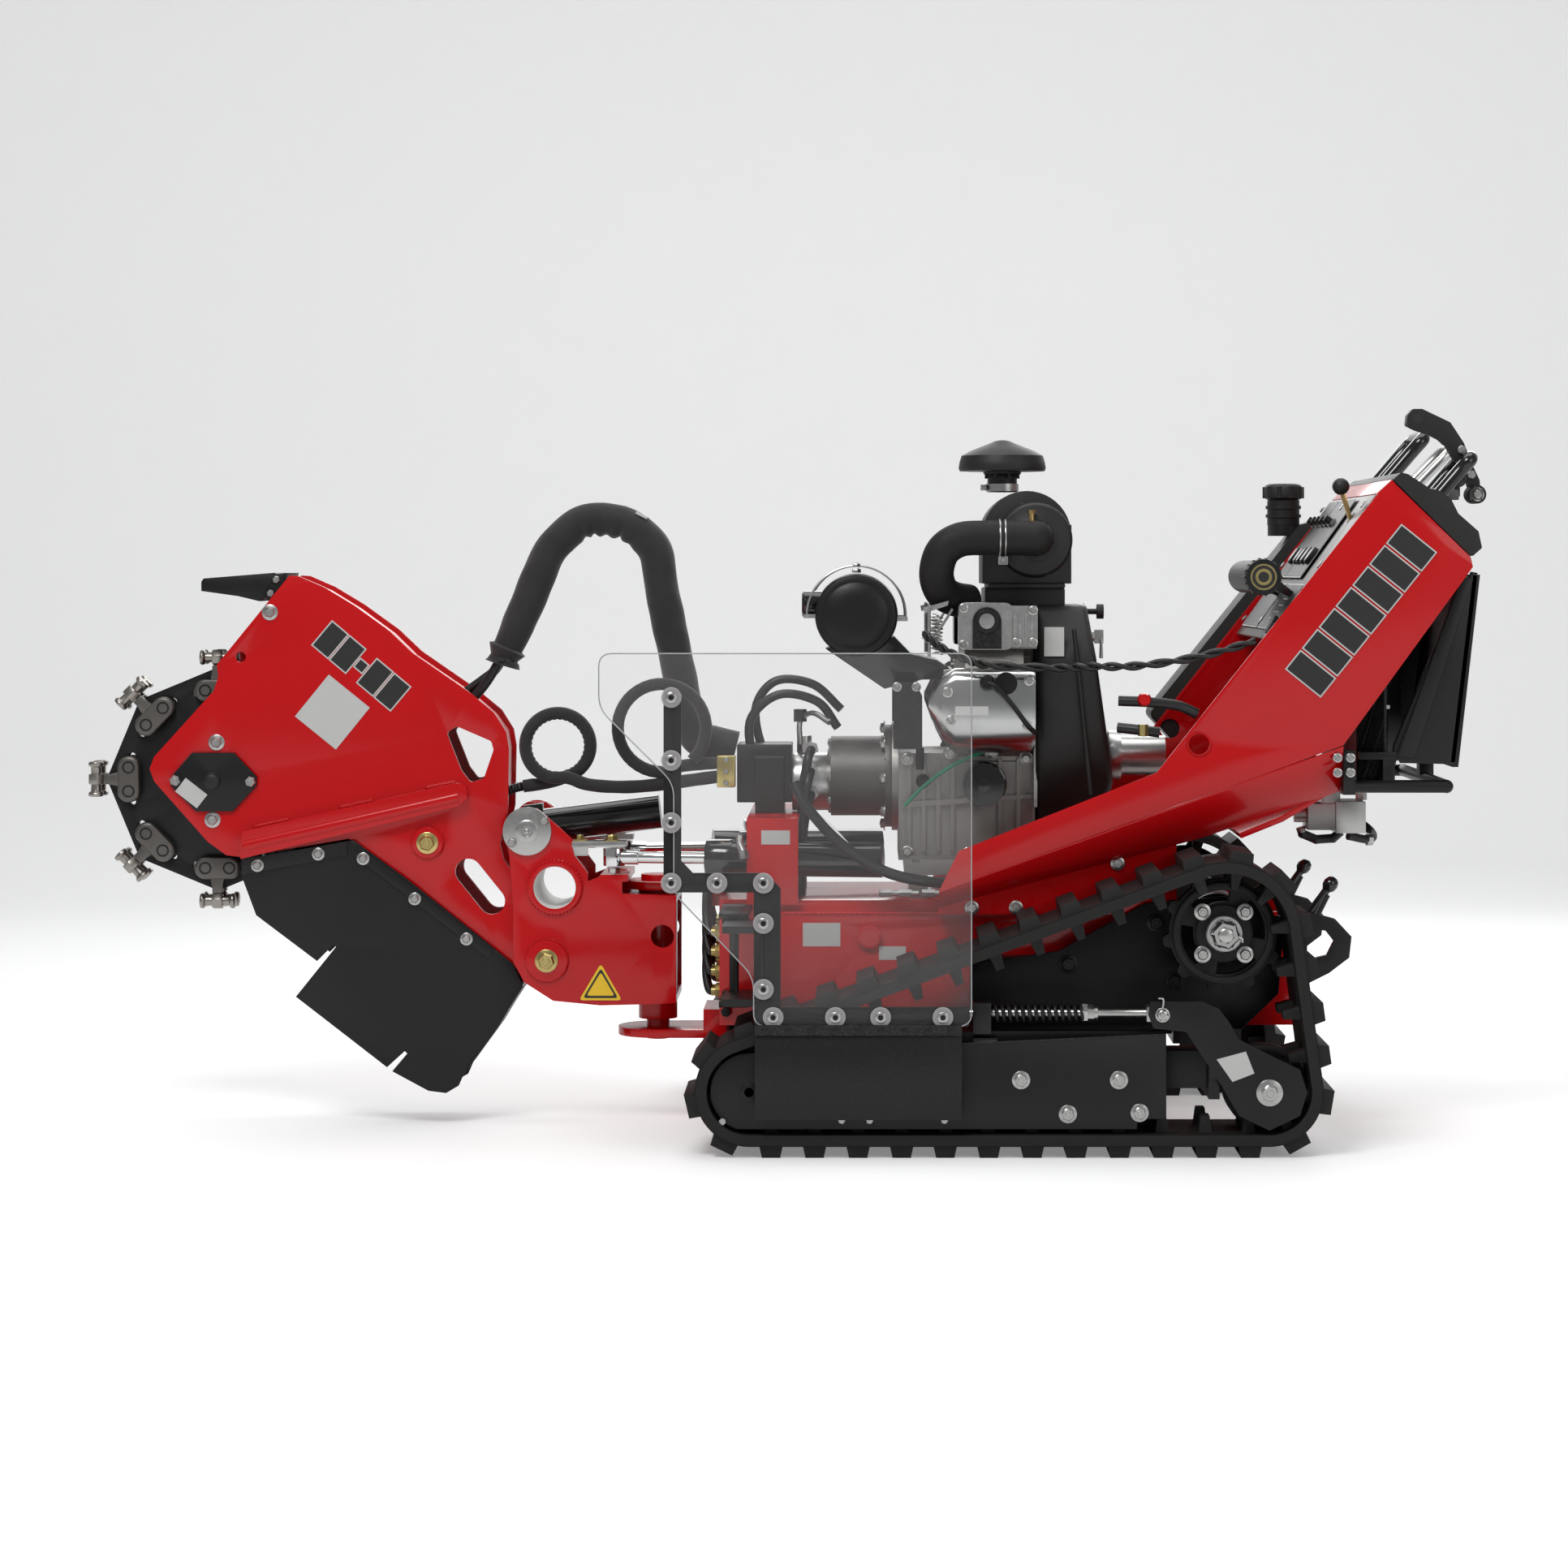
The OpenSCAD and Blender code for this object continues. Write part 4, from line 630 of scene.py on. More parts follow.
def build_hoses():
    half_a, half_b, bare, tie, tape, loop1, loop2, tail, block, screws = builds(10)
    half_a.tube(ARCH[:APEX + 2], SLEEVE_R, n=40, smooth=18, radius=sleeve_radius)
    half_b.tube(ARCH[APEX:], SLEEVE_R, n=40, smooth=18, radius=sleeve_radius)
    for k, dy in ((0, -12), (1, 12)):
        bare.tube([(-930 - 12 * k, dy, 738 + 14 * k), (-908 - 6 * k, dy, 764 + 8 * k),
                   (-890, dy, 792), (-872, dy * 0.8, 826)], 8.5, n=16)
    sleeve_a = half_a.done("hose_sleeve_head", "sleeve", None)
    sleeve_b = half_b.done("hose_sleeve_hull", "sleeve", None, replaces=["hose_bundle"])
    bare.done("hose_ends_head", "hose", "head")
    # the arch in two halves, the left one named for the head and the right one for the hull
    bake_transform(sleeve_a)
    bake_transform(sleeve_b)
    tie.lathe([(-2, 23), (-2, 25), (2, 25), (2, 23)], (-874, 0, 812), (0.38, 0, 0.92), 32)
    tie.box((-882, -32, 806), (-872, -22, 813))
    tie.done("sleeve_tie", "ink", "head")
    tape.plate([(-642, 1066), (-622, 1056), (-620, 1060), (-640, 1070)], -20, 4)
    tape.done("sleeve_tape", "label", "swing")
    loop1.tube([(-836, -44, 588), (-810, -45, 592), (-782, -46, 598)]
               + coil(-775, 660, 56, -70, 14.5, 24, -46, -0.8)
               + [(-756, -66, 604), (-720, -67, 592), (-660, -68, 588), (-600, -68, 592),
                  (-540, -68, 600), (-496, -68, 606)], 11.5, n=20, smooth=7,
               radius=loop_radius(11.5, Vector((-775, 0, 660))))
    loop1.done("hose_loop_head", "sleeve", "swing")
    loop2.tube(coil(-592, 691, 77, -46, 14.8, 23, -86, 0.8)
               + [(-560, -66, 624), (-524, -66, 628), (-496, -66, 630)], 11, n=20, smooth=7,
               radius=loop_radius(11, Vector((-592, 0, 691))))
    loop2.done("hose_loop_boom", "sleeve", "swing")
    tail.tube([(-872, -42, 576), (-862, -43, 580), (-850, -44, 585), (-832, -44, 589)], 8,
              n=16, smooth=10, radius=lambda t, p, d, ang: 8 + 0.9 * sin(p.x * 1.3))
    tail.done("loop_tail", "hose", "swing")
    block.box((-496, -84, 588), (-464, -52, 643))
    block.done("hose_clamp_block", "yellow_zinc", bevel=2)
    screws.bolts(((-480, 596), (-480, 616), (-480, 636)), -84, r=5, h=4)
    screws.done("clamp_block_screws", "zinc")


build_hoses()

# ---------------------------------------------------------------- tracks
TRACK_Y = 355
PLATE_Y = 436
BELT_IN_Y = 265
SPROCKET = JOINT["track_drive_left"]


def build_spring(side, sy):
    """Coil spring of the track tensioner, along the rod up to the nut."""
    x0, x1, turns, r = -29.5, 128.5, 14, 13.2
    steps = turns * 16
    spring = Build()
    spring.tube([(x0 + (x1 - x0) * (0.02 + 0.96 * i / steps), sy * 417 + r * c, 236 + r * s)
                 for i, (c, s) in enumerate(turn(steps + 1, 0, 360 / 16))], 3.1, n=8, smooth=1)
    obj = spring.done("tension_coil_" + side, "black", "carriage_" + side,
                      replaces=["tension_spring_" + side])
    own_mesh(obj)


def build_wheels(side, sy):
    """Bolts, hub ring and axle nut of the sprocket, and the dished rings of both idlers."""
    bolts, ring, nut = builds(3)
    for c, s in turn(4, 45):
        bolts.bolt((SPROCKET.x + 50 * c, sy * (TRACK_Y + 25), SPROCKET.z + 50 * s), r=9.5, h=7,
                   washer=14)
    bolts.done("sprocket_bolts_" + side, "zinc", "drive_sprocket_" + side)
    ring.lathe([(0, 31), (4, 31), (6, 29), (6, 24)],
               (SPROCKET.x, sy * (TRACK_Y + 36), SPROCKET.z), n=40)
    ring.done("sprocket_hub_ring_" + side, "zinc", "drive_sprocket_" + side)
    # castle nut and split pin on the motor shaft
    c = Vector((SPROCKET.x, sy * (TRACK_Y + 37), SPROCKET.z))
    nut.lathe([(0, 25), (16, 25), (18, 23), (18, 21), (28, 21), (28, 14), (22, 13)], c, n=6)
    nut.lathe([(20, 13), (30, 12), (32, 9)], c, n=20)
    nut.tube([(c.x - 24, sy * (TRACK_Y + 60), c.z + 3), (c.x + 22, sy * (TRACK_Y + 60), c.z - 3),
              (c.x + 27, sy * (TRACK_Y + 62), c.z - 12)], 2.2, n=8, smooth=3)
    nut.done("axle_nut_" + side, "zinc")
    for end in ("front", "rear"):
        joint, dish = f"{end}_idler_spin_{side}", Build()
        dish.lathe(hoop(60, 36, 0, 1.5), (JOINT[joint].x, sy * (TRACK_Y + 14), JOINT[joint].z),
                   n=40)
        dish.done("wheel_dish_" + joint, "black", f"{end}_wheel_{side}")


def build_carriage(side, sy):
    """Bolts, rod nuts, clevis clip and blank plate on the arm of the rear idler."""
    arm, plate = builds(2)
    arm.bolt((JOINT["rear_idler_spin_" + side].x, sy * (PLATE_Y + 8), 108), r=15, h=9, washer=22)
    arm.bolt((251, sy * 446, 236), r=9, h=5, washer=12)
    arm.cyl((120, sy * 417, 236), (129, sy * 417, 236), 16, n=6)
    arm.cyl((140, sy * 417, 236), (146, sy * 417, 236), 12, n=20)
    arm.tube([(251, sy * 448, 247), (252, sy * 449, 262), (244, sy * 449, 264)], 1.8, n=8)
    arm.done("carriage_fittings_" + side, "zinc", "carriage_" + side)
    plate.plate([(340, 163), (388, 176), (402, 140), (366, 126)], sy * 444, sy * 444.5)
    plate.done("carriage_blank_plate_" + side, "label", "carriage_" + side, smooth=False)


def build_track_details():
    zinc, black = builds(2)
    for sy, side in SIDES:
        y = sy * PLATE_Y
        zinc.bolts(((19, 128), (180, 128), (96, 72), (214, 74)), y, r=11, h=7, washer=15)
        zinc.bolts(((-472, 60), (-276, 62), (-230, 62), (-107, 62)), y, r=7, h=5)
        black.bolts(((106, 300), (255, 370), (286, 271), (410, 300)), sy * (BELT_IN_Y - 3), r=12,
                    h=7, washer=16)
        # socket screw on the idler axle, and the seam of the folded side plate
        black.lathe([(0, 15), (3, 15), (4, 13), (4, 8), (0, 8)], (-428, y, 108), n=24)
        black.plate([(-290, 176), (250, 201), (250, 204), (-290, 179)], y - 2 * sy, y + sy)
        build_spring(side, sy)
        build_wheels(side, sy)
        build_carriage(side, sy)
    zinc.done("track_plate_bolts", "zinc", replaces=["base_bolts"])
    black.done("drive_plate_bolts", "black")


build_track_details()


# ---------------------------------------------------------------- clear shield
def build_shield_details():
    discs, screws, nuts, edge, rubber = builds(5)
    for x, z in ((-555, 758), (-555, 655), (-555, 553), (-555, 454), (-480, 454), (-404, 454),
                 (-404, 388), (-404, 280), (-388, 234), (-286, 234), (-212, 234), (-110, 234)):
        discs.lathe([(0, 17), (2, 17), (3, 16), (3, 9), (0, 9)], (x, -460.2, z), n=32)
        screws.lathe([(0, 9), (3.4, 9), (4.6, 7), (4.6, 4), (2.6, 3.6)], (x, -461, z), n=24)
        nuts.bolt((x, -449, z), (0, 1, 0), r=9, h=7, washer=13)
    discs.done("shield_clear_washers", "clear_washer", "shield")
    screws.done("shield_screws", "zinc", "shield")
    nuts.done("shield_nuts", "zinc", "shield")
    outline = rounded([(-674, 830), (-63, 830), (-63, 219), (-420, 219), (-420, 300),
                       (-551, 437), (-551, 617), (-674, 740)], 22, 6)
    edge.tube([(x, -457.5, z) for x, z in outline], 1.1, n=6, smooth=1, closed=True)
    edge.done("shield_polished_edge", "plexi_edge", "shield")
    rubber.plate([(-418, 222), (-79, 222), (-79, 205), (-418, 205)], -468, -464)
    for i in range(9):
        rubber.lathe([(0, 6), (2, 6), (3, 4)], (-400 + 38 * i, -468, 213), n=14)
    rubber.done("shield_flap_strip", "black", "shield")


build_shield_details()


# ---------------------------------------------------------------- hull
def build_hull_details():
    red, zinc, yellow, black, label = builds(5)
    for sy in BOTH:
        f = sy * 205
        # weld seams along the tank edges
        for z in (380, 153):
            for i in range(60):
                red.lathe([(-4.4, 0.8), (-2, 2.6), (2, 2.6), (4.4, 0.8)],
                          (-380 + i * 8.9, f, z), (1, 0, 0), 6)
        # oil level glass
        black.lathe([(0, 14), (3, 14), (4, 12), (5, 6)], (-230, sy * 198, 340), n=28)
        red.lathe([(0, 20), (8, 20), (9, 18), (9, 14)], (-230, f, 340), n=32)
        # cover bolt, elbow fitting, blank plates
        zinc.bolt((-160, f, 299), r=8, h=5, washer=12)
        zinc.tube([(-452, f * 0.98, 512), (-452, f, 500), (-446, f * 1.03, 486)], 7, n=14)
        zinc.cyl((-446, f * 1.03, 488), (-444, f * 1.04, 474), 9, n=6)
        for x0, x1, z0, z1 in ((-415, -366, 498, 522), (-344, -280, 324, 364),
                               (-214, -168, 301, 324)):
            label.plate([(x0, z0), (x1, z0), (x1, z1), (x0, z1)], f - 0.6 * sy, f + 0.5 * sy)
        black.bolts(((-477, 381), (-477, 208)), sy * 170, r=9, h=6)
    # stack of fittings and hoses on the front wall
    for z in (238, 272, 306, 340):
        for y in (-120, -84, 84, 120):
            yellow.cyl((-488, y, z), (-497, y, z), 11, n=6)
            yellow.cyl((-497, y, z), (-504, y, z), 8, n=16)
            black.tube([(-498, y, z), (-508, y, z + 2), (-514, y * 0.9, z + 28),
                        (-514, y * 0.8, z + 66), (-512, y * 0.75, 402)], 6.5, n=10)
    for x in (-214, -180, -140):
        zinc.cyl((x, -176, 412), (x + 22, -176, 412), 7, n=6)
        zinc.cyl((x + 22, -176, 412), (x + 34, -176, 412), 5)
    red.done("hull_weld_beads", "red")
    label.done("hull_blank_plates", "label", smooth=False)
    black.done("hull_fittings", "hose")
    zinc.done("hull_zinc_fittings", "zinc")
    yellow.done("hull_yellow_fittings", "yellow_zinc")


build_hull_details()


# ---------------------------------------------------------------- engine
VEE = 40


def shroud_shell(build, sy):
    """Bright air shroud: flat face, rolled top edge and a long curve underneath."""
    edge = [(-236, 800), (-250, 798), (-260, 790), (-264, 778), (-264.5, 716), (-262, 700),
            (-254, 682), (-240, 666), (-214, 655)]
    stations = [(-130, 0.1), (-118, 0.5), (-106, 0.78), (-85, 1.0), (44, 1.0), (51, 0.93)]
    m = len(edge)
    verts = [(x, -sy * (y + (1 - grow) * 8), 738 + (z - 738) * grow)
             for x, grow in stations for y, z in edge]
    faces = [[i + k, i + k + 1, i + m + k + 1, i + m + k]
             for i in range(0, len(verts) - m, m) for k in range(m - 1)]
    build.add(verts, faces + [list(range(len(verts) - m, len(verts)))])


def slab_at(build, pts, sy, y0, y1):
    """Side-view outline between two distances from the middle plane, on one side."""
    build.plate(pts, sy * y0, sy * y1)


def side_box(build, x0, x1, z0, z1, sy, y0, y1):
    build.plate([(x0, z0), (x1, z0), (x1, z1), (x0, z1)], sy * y0, sy * y1)


def build_engine_side(sy, cast, silver, black, wire, shell, blank):
    u = Vector((0, sy * cos(radians(VEE)), -sin(radians(VEE))))
    n = Vector((0, sy * sin(radians(VEE)), cos(radians(VEE))))
    for i in range(13):
        c = Vector((-18, sy * 56, 640)) + n * (42 + i * 12)
        half, wide = 56 - 5 * (i % 2), 66 - 4 * (i % 2)
        cast.slab([c + Vector((a * wide, 0, 0)) + u * b * half
                   for a, b in ((-1, -1), (1, -1), (1, 1), (-1, 1))], n * -4)
    # crankcase ribs and bolted bosses
    for x in (-165, -140, -115, -90, -8, 24):
        side_box(cast, x, x + 7, 480, 640, sy, 124, 131)
    for x, z in ((-165, 640), (-90, 650), (-20, 652), (40, 640), (-165, 480), (-60, 478),
                 (40, 478)):
        cast.cyl((x, sy * 118, z), (x, sy * 132, z), 13, n=20)
        silver.bolt((x, sy * 132, z), r=8, h=6, washer=10)
    slab_at(cast, [(-176, 556), (50, 572), (50, 580), (-176, 566)], sy, 124, 133)
    side_box(cast, -176, 50, 466, 474, sy, 124, 136)
    # rocker cover and the part of the head beside it
    y0, y1 = sorted((sy * 150, sy * 236))
    silver.plate(rounded([(-78, 831), (12, 831), (12, 911), (-78, 911)], 12), y0, y1)
    silver.plate(rounded([(10, 836), (56, 836), (56, 906), (10, 906)], 6), y0 + 6, y1 - 6)
    silver.bolts(((-70, 840), (-70, 902), (48, 844), (48, 898), (20, 844)), sy * 235, r=6, h=5,
                 washer=8)
    for x in (14, 24, 34, 44):
        side_box(silver, x, x + 4, 852, 892, sy, 231, 234)
    # black arched bracket with a plain boss
    slab_at(black, [(-6, 833), (-55, 833)] + arc(-30.5, 879, 24.5, 180, 0, 14), sy, 236, 243)
    black.lathe([(0, 20), (3, 20), (4, 17)], (-31, sy * 243, 880), n=32)
    silver.lathe([(0, 13), (0.8, 13), (1, 10)], (-31, sy * 247, 880), n=28)
    shroud_shell(shell, sy)
    silver.bolts(((-98, 760), (40, 780), (38, 702), (-92, 712)), sy * 264, r=6.5, h=4, washer=9)
    black.lathe([(0, 19), (1.5, 19), (1.5, 15)], (1, sy * 264, 775), n=30)
    side_box(blank, -85, -29, 721, 736, sy, 264, 265.2)
    # plug boot and its lead
    black.lathe([(0, 8), (3, 12), (14, 13), (20, 9)], (-31, sy * 262, 777), n=24)
    black.tube([(-31, sy * 278, 777), (-14, sy * 284, 768), (12, sy * 282, 738),
                (34, sy * 276, 708), (47, sy * 262, 694), (54, sy * 240, 690)], 4.2, n=10)
    # bracket plate, metal strip and tube beside the barrels
    slab_at(black, [(-189, 661), (-140, 661), (-140, 752), (-152, 774), (-180, 774),
                    (-189, 758)], sy, 196, 202)
    side_box(silver, 53, 59, 558, 694, sy, 124, 150)
    black.cyl((-143, sy * 138, 622), (-143, sy * 138, 660), 7)
    black.lathe([(0, 12), (6, 12), (9, 8)], (-138, sy * 127, 602), n=20)
    silver.bolts(((-183, 767), (-150, 767)), sy * 202, r=6, h=5, washer=8)
    # governor rod, spring and small lever by the rocker cover
    silver.cyl((-128, sy * 176, 818), (-128, sy * 176, 908), 3, n=10)
    silver.tube([(-134, sy * 180, 842), (-110, sy * 186, 866), (-88, sy * 190, 900)], 2.4, n=8)
    silver.tube([(-112 + 7 * cos(i * 1.1), sy * 180 + 7 * sin(i * 1.1), 822 + i * 1.1)
                 for i in range(60)], 1.5, n=6, smooth=1)
    slab_at(silver, [(-136, 892), (-96, 906), (-94, 914), (-138, 902)], sy, 174, 178)
    wire.tube([(58, sy * 150, 700), (20, sy * 170, 676), (-70, sy * 166, 640),
               (-130, sy * 150, 600), (-170, sy * 144, 560)], 3.2, n=8)


def build_engine_details():
    cast, silver, black, wire, shell, blank, ridge, tag = builds(8)
    for sy in BOTH:
        build_engine_side(sy, cast, silver, black, wire, shell, blank)
    cast.done("engine_castings", "cast")
    silver.done("engine_zinc_details", "zinc")
    black.done("engine_black_details", "black")
    wire.done("engine_green_wire", "green")
    shell.done("air_shroud_shells", "shroud", replaces=["cylinder_shrouds"])
    blank.done("engine_blank_labels", "label", smooth=False)
    # slanted ridge and blank label on the near side of the fan shroud
    y = box_mm("flywheel_shroud")[0].y
    ridge.tube([(120, y - 1, 865), (135, y - 1, 722), (149, y - 1, 582)], 4, n=12)
    ridge.done("fan_shroud_ridge", "plastic")
    tag.box((69, y - 1.2, 819), (103, y + 1, 869))
    tag.done("fan_shroud_label", "label", smooth=False)


def build_muffler_details():
    band, pipe, drum, guard, flange = builds(5)
    x, z = -253, 888
    for y in (-63, 67):
        band.lathe(hoop(72.5, 71.5, -7, 7), (x, y, z), (0, 1, 0), 60)
        band.bolt((x, y, 962), (0, 0, 1), r=8, h=7)
    band.done("muffler_clamps", "zinc")
    pipe.lathe([(0, 22), (4, 24), (34, 24), (38, 20), (38, 17), (4, 17)], (-310, -60, 906),
               (-1, 0, 0), 36)
    pipe.done("muffler_outlet", "gloss_black")
    for sy in BOTH:
        for profile, y, n in (([(0, 69), (3, 71), (6, 69)], 116, 60),
                              ([(0, 60), (6, 52), (8, 30), (8, 2)], 128, 48),
                              ([(0, 68), (2, 68), (4, 62), (4, 58)], 126, 48)):
            drum.lathe(profile, (x, sy * y, z), n=n)
        # thin straps standing off the drum
        y = sy * 108
        guard.tube([(x + 86 * c, y, z + 86 * s) for c, s in turn(24, -4, 8)], 1.8, n=8, smooth=1)
        guard.bolt((x, y, 972), (0, 0, 1), r=7, h=6)
        guard.box((-343, y - 5, 884), (-322, y + 5, 890))
        guard.box((-184, y - 5, 878), (-164, y + 5, 886))
    drum.done("muffler_ends", "black")
    guard.done("muffler_straps", "zinc")
    flange.box((-102, -98, 772), (-84, 98, 794))
    flange.done("exhaust_flange", "zinc", bevel=2)


def arc(cx, cz, r, a0, a1, n):
    return [(cx + r * c, cz + r * s) for c, s in turn(n + 1, a0, (a1 - a0) / n)]


def build_intake():
    hose, clamps, case, low, cap, band, brass = builds(7)
    y = -170
    hose.lathe([(0, 31), (30, 31)], (56, -140, 1021), n=36)
    hose.lathe([(-31, 0.1), (-28, 13), (-22, 22), (-12, 28.6), (0, 31), (12, 28.6), (22, 22),
                (28, 13), (31, 0.1)], (56, y, 1021), (1, 0, 0), 36)
    hose.tube([(56, y, 1021), (10, y, 1022), (-30, y, 1022), (-74, y, 1019), (-104, -168, 999),
               (-115, -160, 962), (-106, -140, 931), (-84, -112, 917), (-58, -84, 912)], 30,
              n=36, smooth=10)
    hose.done("intake_duct", "rubber", replaces=["intake_hose"])
    for x in (-6, 3):
        clamps.tube([(x, y + 31.5 * c, 1022 + 31.5 * s) for c, s in turn(46, 0, 8)], 1.8, n=8,
                    smooth=1)
    clamps.box((-9, y - 12, 976), (7, y + 6, 990))
    clamps.bolt((-1, y - 12, 983), r=6, h=8)
    clamps.done("intake_clamps", "zinc")
    # arched housing with a round cover at each end
    case.plate([(-34, 943), (120, 943), (120, 1020)] + arc(43, 1027, 77, 0, 180, 22)
               + [(-34, 1020)], -110, 110)
    case.box((-24, -116, 936), (109, 116, 943))
    for sy in BOTH:
        case.lathe([(0, 66), (4, 66), (6, 64), (24, 64), (29, 60), (30, 40), (33, 36), (33, 4)],
                   (56, sy * 110, 1019), n=56)
        for c, s in turn(4, 20):
            x, z = 56 + 62 * c, 1019 + 62 * s
            side_box(case, x - 5, x + 5, z - 5, z + 5, sy, 112, 130)
    case.done("air_cleaner_case", "plastic", bevel=3, replaces=["air_cleaner"])
    low.box((-30, -108, 889), (109, 108, 936))
    low.done("air_cleaner_base", "black", bevel=3)
    cap.lathe([(0, 26), (28, 26), (32, 33), (36, 33.5), (37, 60), (37, 75), (42, 77), (52, 75.5),
               (64, 72), (72, 58), (80, 38), (87, 20), (90, 14), (92, 4)], (4, 0, 1104),
              (0, 0, 1), 56)
    for c, s in turn(8, 20):
        cap.cyl((4 + 30 * c, 30 * s, 1128), (4 + 30 * c, 30 * s, 1142), 3, n=8)
    cap.done("rain_cap", "plastic")
    band.lathe([(0, 28), (0.6, 29), (13.4, 29), (14, 28)], (4, 0, 1105), (0, 0, 1), 40)
    band.box((-34, -8, 1107), (-22, 8, 1117))
    band.bolt((-28, -8, 1112), r=5, h=7)
    band.done("rain_cap_band", "zinc")
    brass.cyl((49, -150, 1050), (49, -150, 1068), 5)
    brass.cyl((49, -150, 1064), (49, -150, 1070), 7, n=6)
    brass.done("intake_nipple", "brass")


def build_oil_filter():
    can, plug = builds(2)
    can.lathe([(0, 38), (6, 38), (8, 35)], (-31, -125, 597), n=48)
    for c, s in turn(16):
        can.cyl((-34 + 34 * c, -176, 598 + 34 * s), (-34 + 34 * c, -134, 598 + 34 * s), 2.6, n=8)
    can.lathe([(0, 12), (4, 12), (5, 6)], (-34, -186, 598), n=6)
    can.done("oil_filter_flutes", "gloss_black")
    plug.cyl((-150, -124, 466), (-150, -140, 462), 8, n=6)
    plug.done("drain_plug", "zinc")


build_engine_details()
build_muffler_details()
build_intake()
build_oil_filter()


# ---------------------------------------------------------------- pump end
def build_pump_details():
    z, b, h, runs, drain = builds(5)
    for c, s in turn(8):
        z.bolt((-203, 84 * c, 604 + 84 * s), (-1, 0, 0), r=9, h=6, washer=13)
        z.bolt((-298, 58 * c, 604 + 58 * s), (-1, 0, 0), r=8, h=5)
    for zz, y in ((654, -52), (616, -62), (576, -58), (604, 62), (640, 50)):
        z.cyl((-332, y * 0.82, zz), (-332, y, zz), 13, n=6)
        z.cyl((-332, y, zz), (-332, y * 1.2, zz), 10, n=16)
        h.tube([(-332, y * 1.16, zz), (-338, y * 1.5, zz - 20), (-346, y * 1.5, zz - 70),
                (-350, y * 1.45, zz - 150), (-350, y * 1.4, 402)], 8, n=12)
    z.cyl((-366, 0, 594), (-378, 0, 594), 30, n=32)
    z.tube([(-352, -14, 660), (-352, -14, 700), (-330, -34, 716), (-300, -60, 700)], 5, n=10)
    z.done("pump_fittings", "zinc")
    b.cyl((-352, -18, 700), (-352, -18, 722), 12, n=6)
    b.done("pump_knob", "plastic")
    # looped hoses from the pump to the tank and to the hull front
    h.tube([(-366, 20, 600), (-414, 24, 640), (-432, 30, 720), (-396, 34, 770), (-330, 34, 764),
            (-280, 24, 720)], 8, n=14, smooth=7)
    h.tube([(-366, -20, 590), (-424, -30, 620), (-440, -34, 700), (-390, -36, 748),
            (-322, -30, 736), (-286, -20, 690)], 8, n=14, smooth=7)
    h.tube([(-200, -60, 640), (-120, -80, 560), (-60, -100, 500)], 7, n=12, smooth=6)
    h.done("pump_hose_runs", "hose")
    # hoses along the tank top and the white drain tube
    for dy in (0, 22):
        runs.tube([(-358, -212 - dy, 604), (-338, -224 - dy, 566), (-286, -229 - dy, 508),
                   (-220, -229 - dy, 462), (-150, -226 - dy, 440), (-60, -200 - dy * 0.5, 432),
                   (60, -160, 432), (160, -120, 436)], 8.5, n=14, smooth=8)
    runs.done("pump_hose_pair", "hose", replaces=["pump_hoses"])
    drain.tube([(-318, -150, 540), (-296, -168, 522), (-278, -176, 504), (-270, -176, 492),
                (-276, -168, 470), (-292, -150, 450)], 5.5, n=12, smooth=8)
    drain.done("drain_tube", "white")


build_pump_details()


# ---------------------------------------------------------------- console and rear
PANEL_LOW, PANEL_HIGH = Vector((447, 0, 850)), Vector((622, 0, 1094))
PANEL_N = Vector((-0.813, 0, 0.583))
PANEL_U = Vector((0.583, 0, 0.813))


def panel_point(t, y, lift=0.0):
    """Point on the sloping instrument panel: t from its lower to its upper edge."""
    d = PANEL_HIGH - PANEL_LOW
    n = Vector((-d.z, 0, d.x)).normalized()
    return PANEL_LOW + d * t + n * (lift + 4.5) + Vector((0, y, 0))


def panel_patch(build, t0, t1, y0, y1, lift, thick):
    """Flat patch on the instrument panel."""
    build.slab([panel_point(t, y) + PANEL_N * lift
                for t, y in ((t0, y0), (t1, y0), (t1, y1), (t0, y1))], PANEL_N * thick)


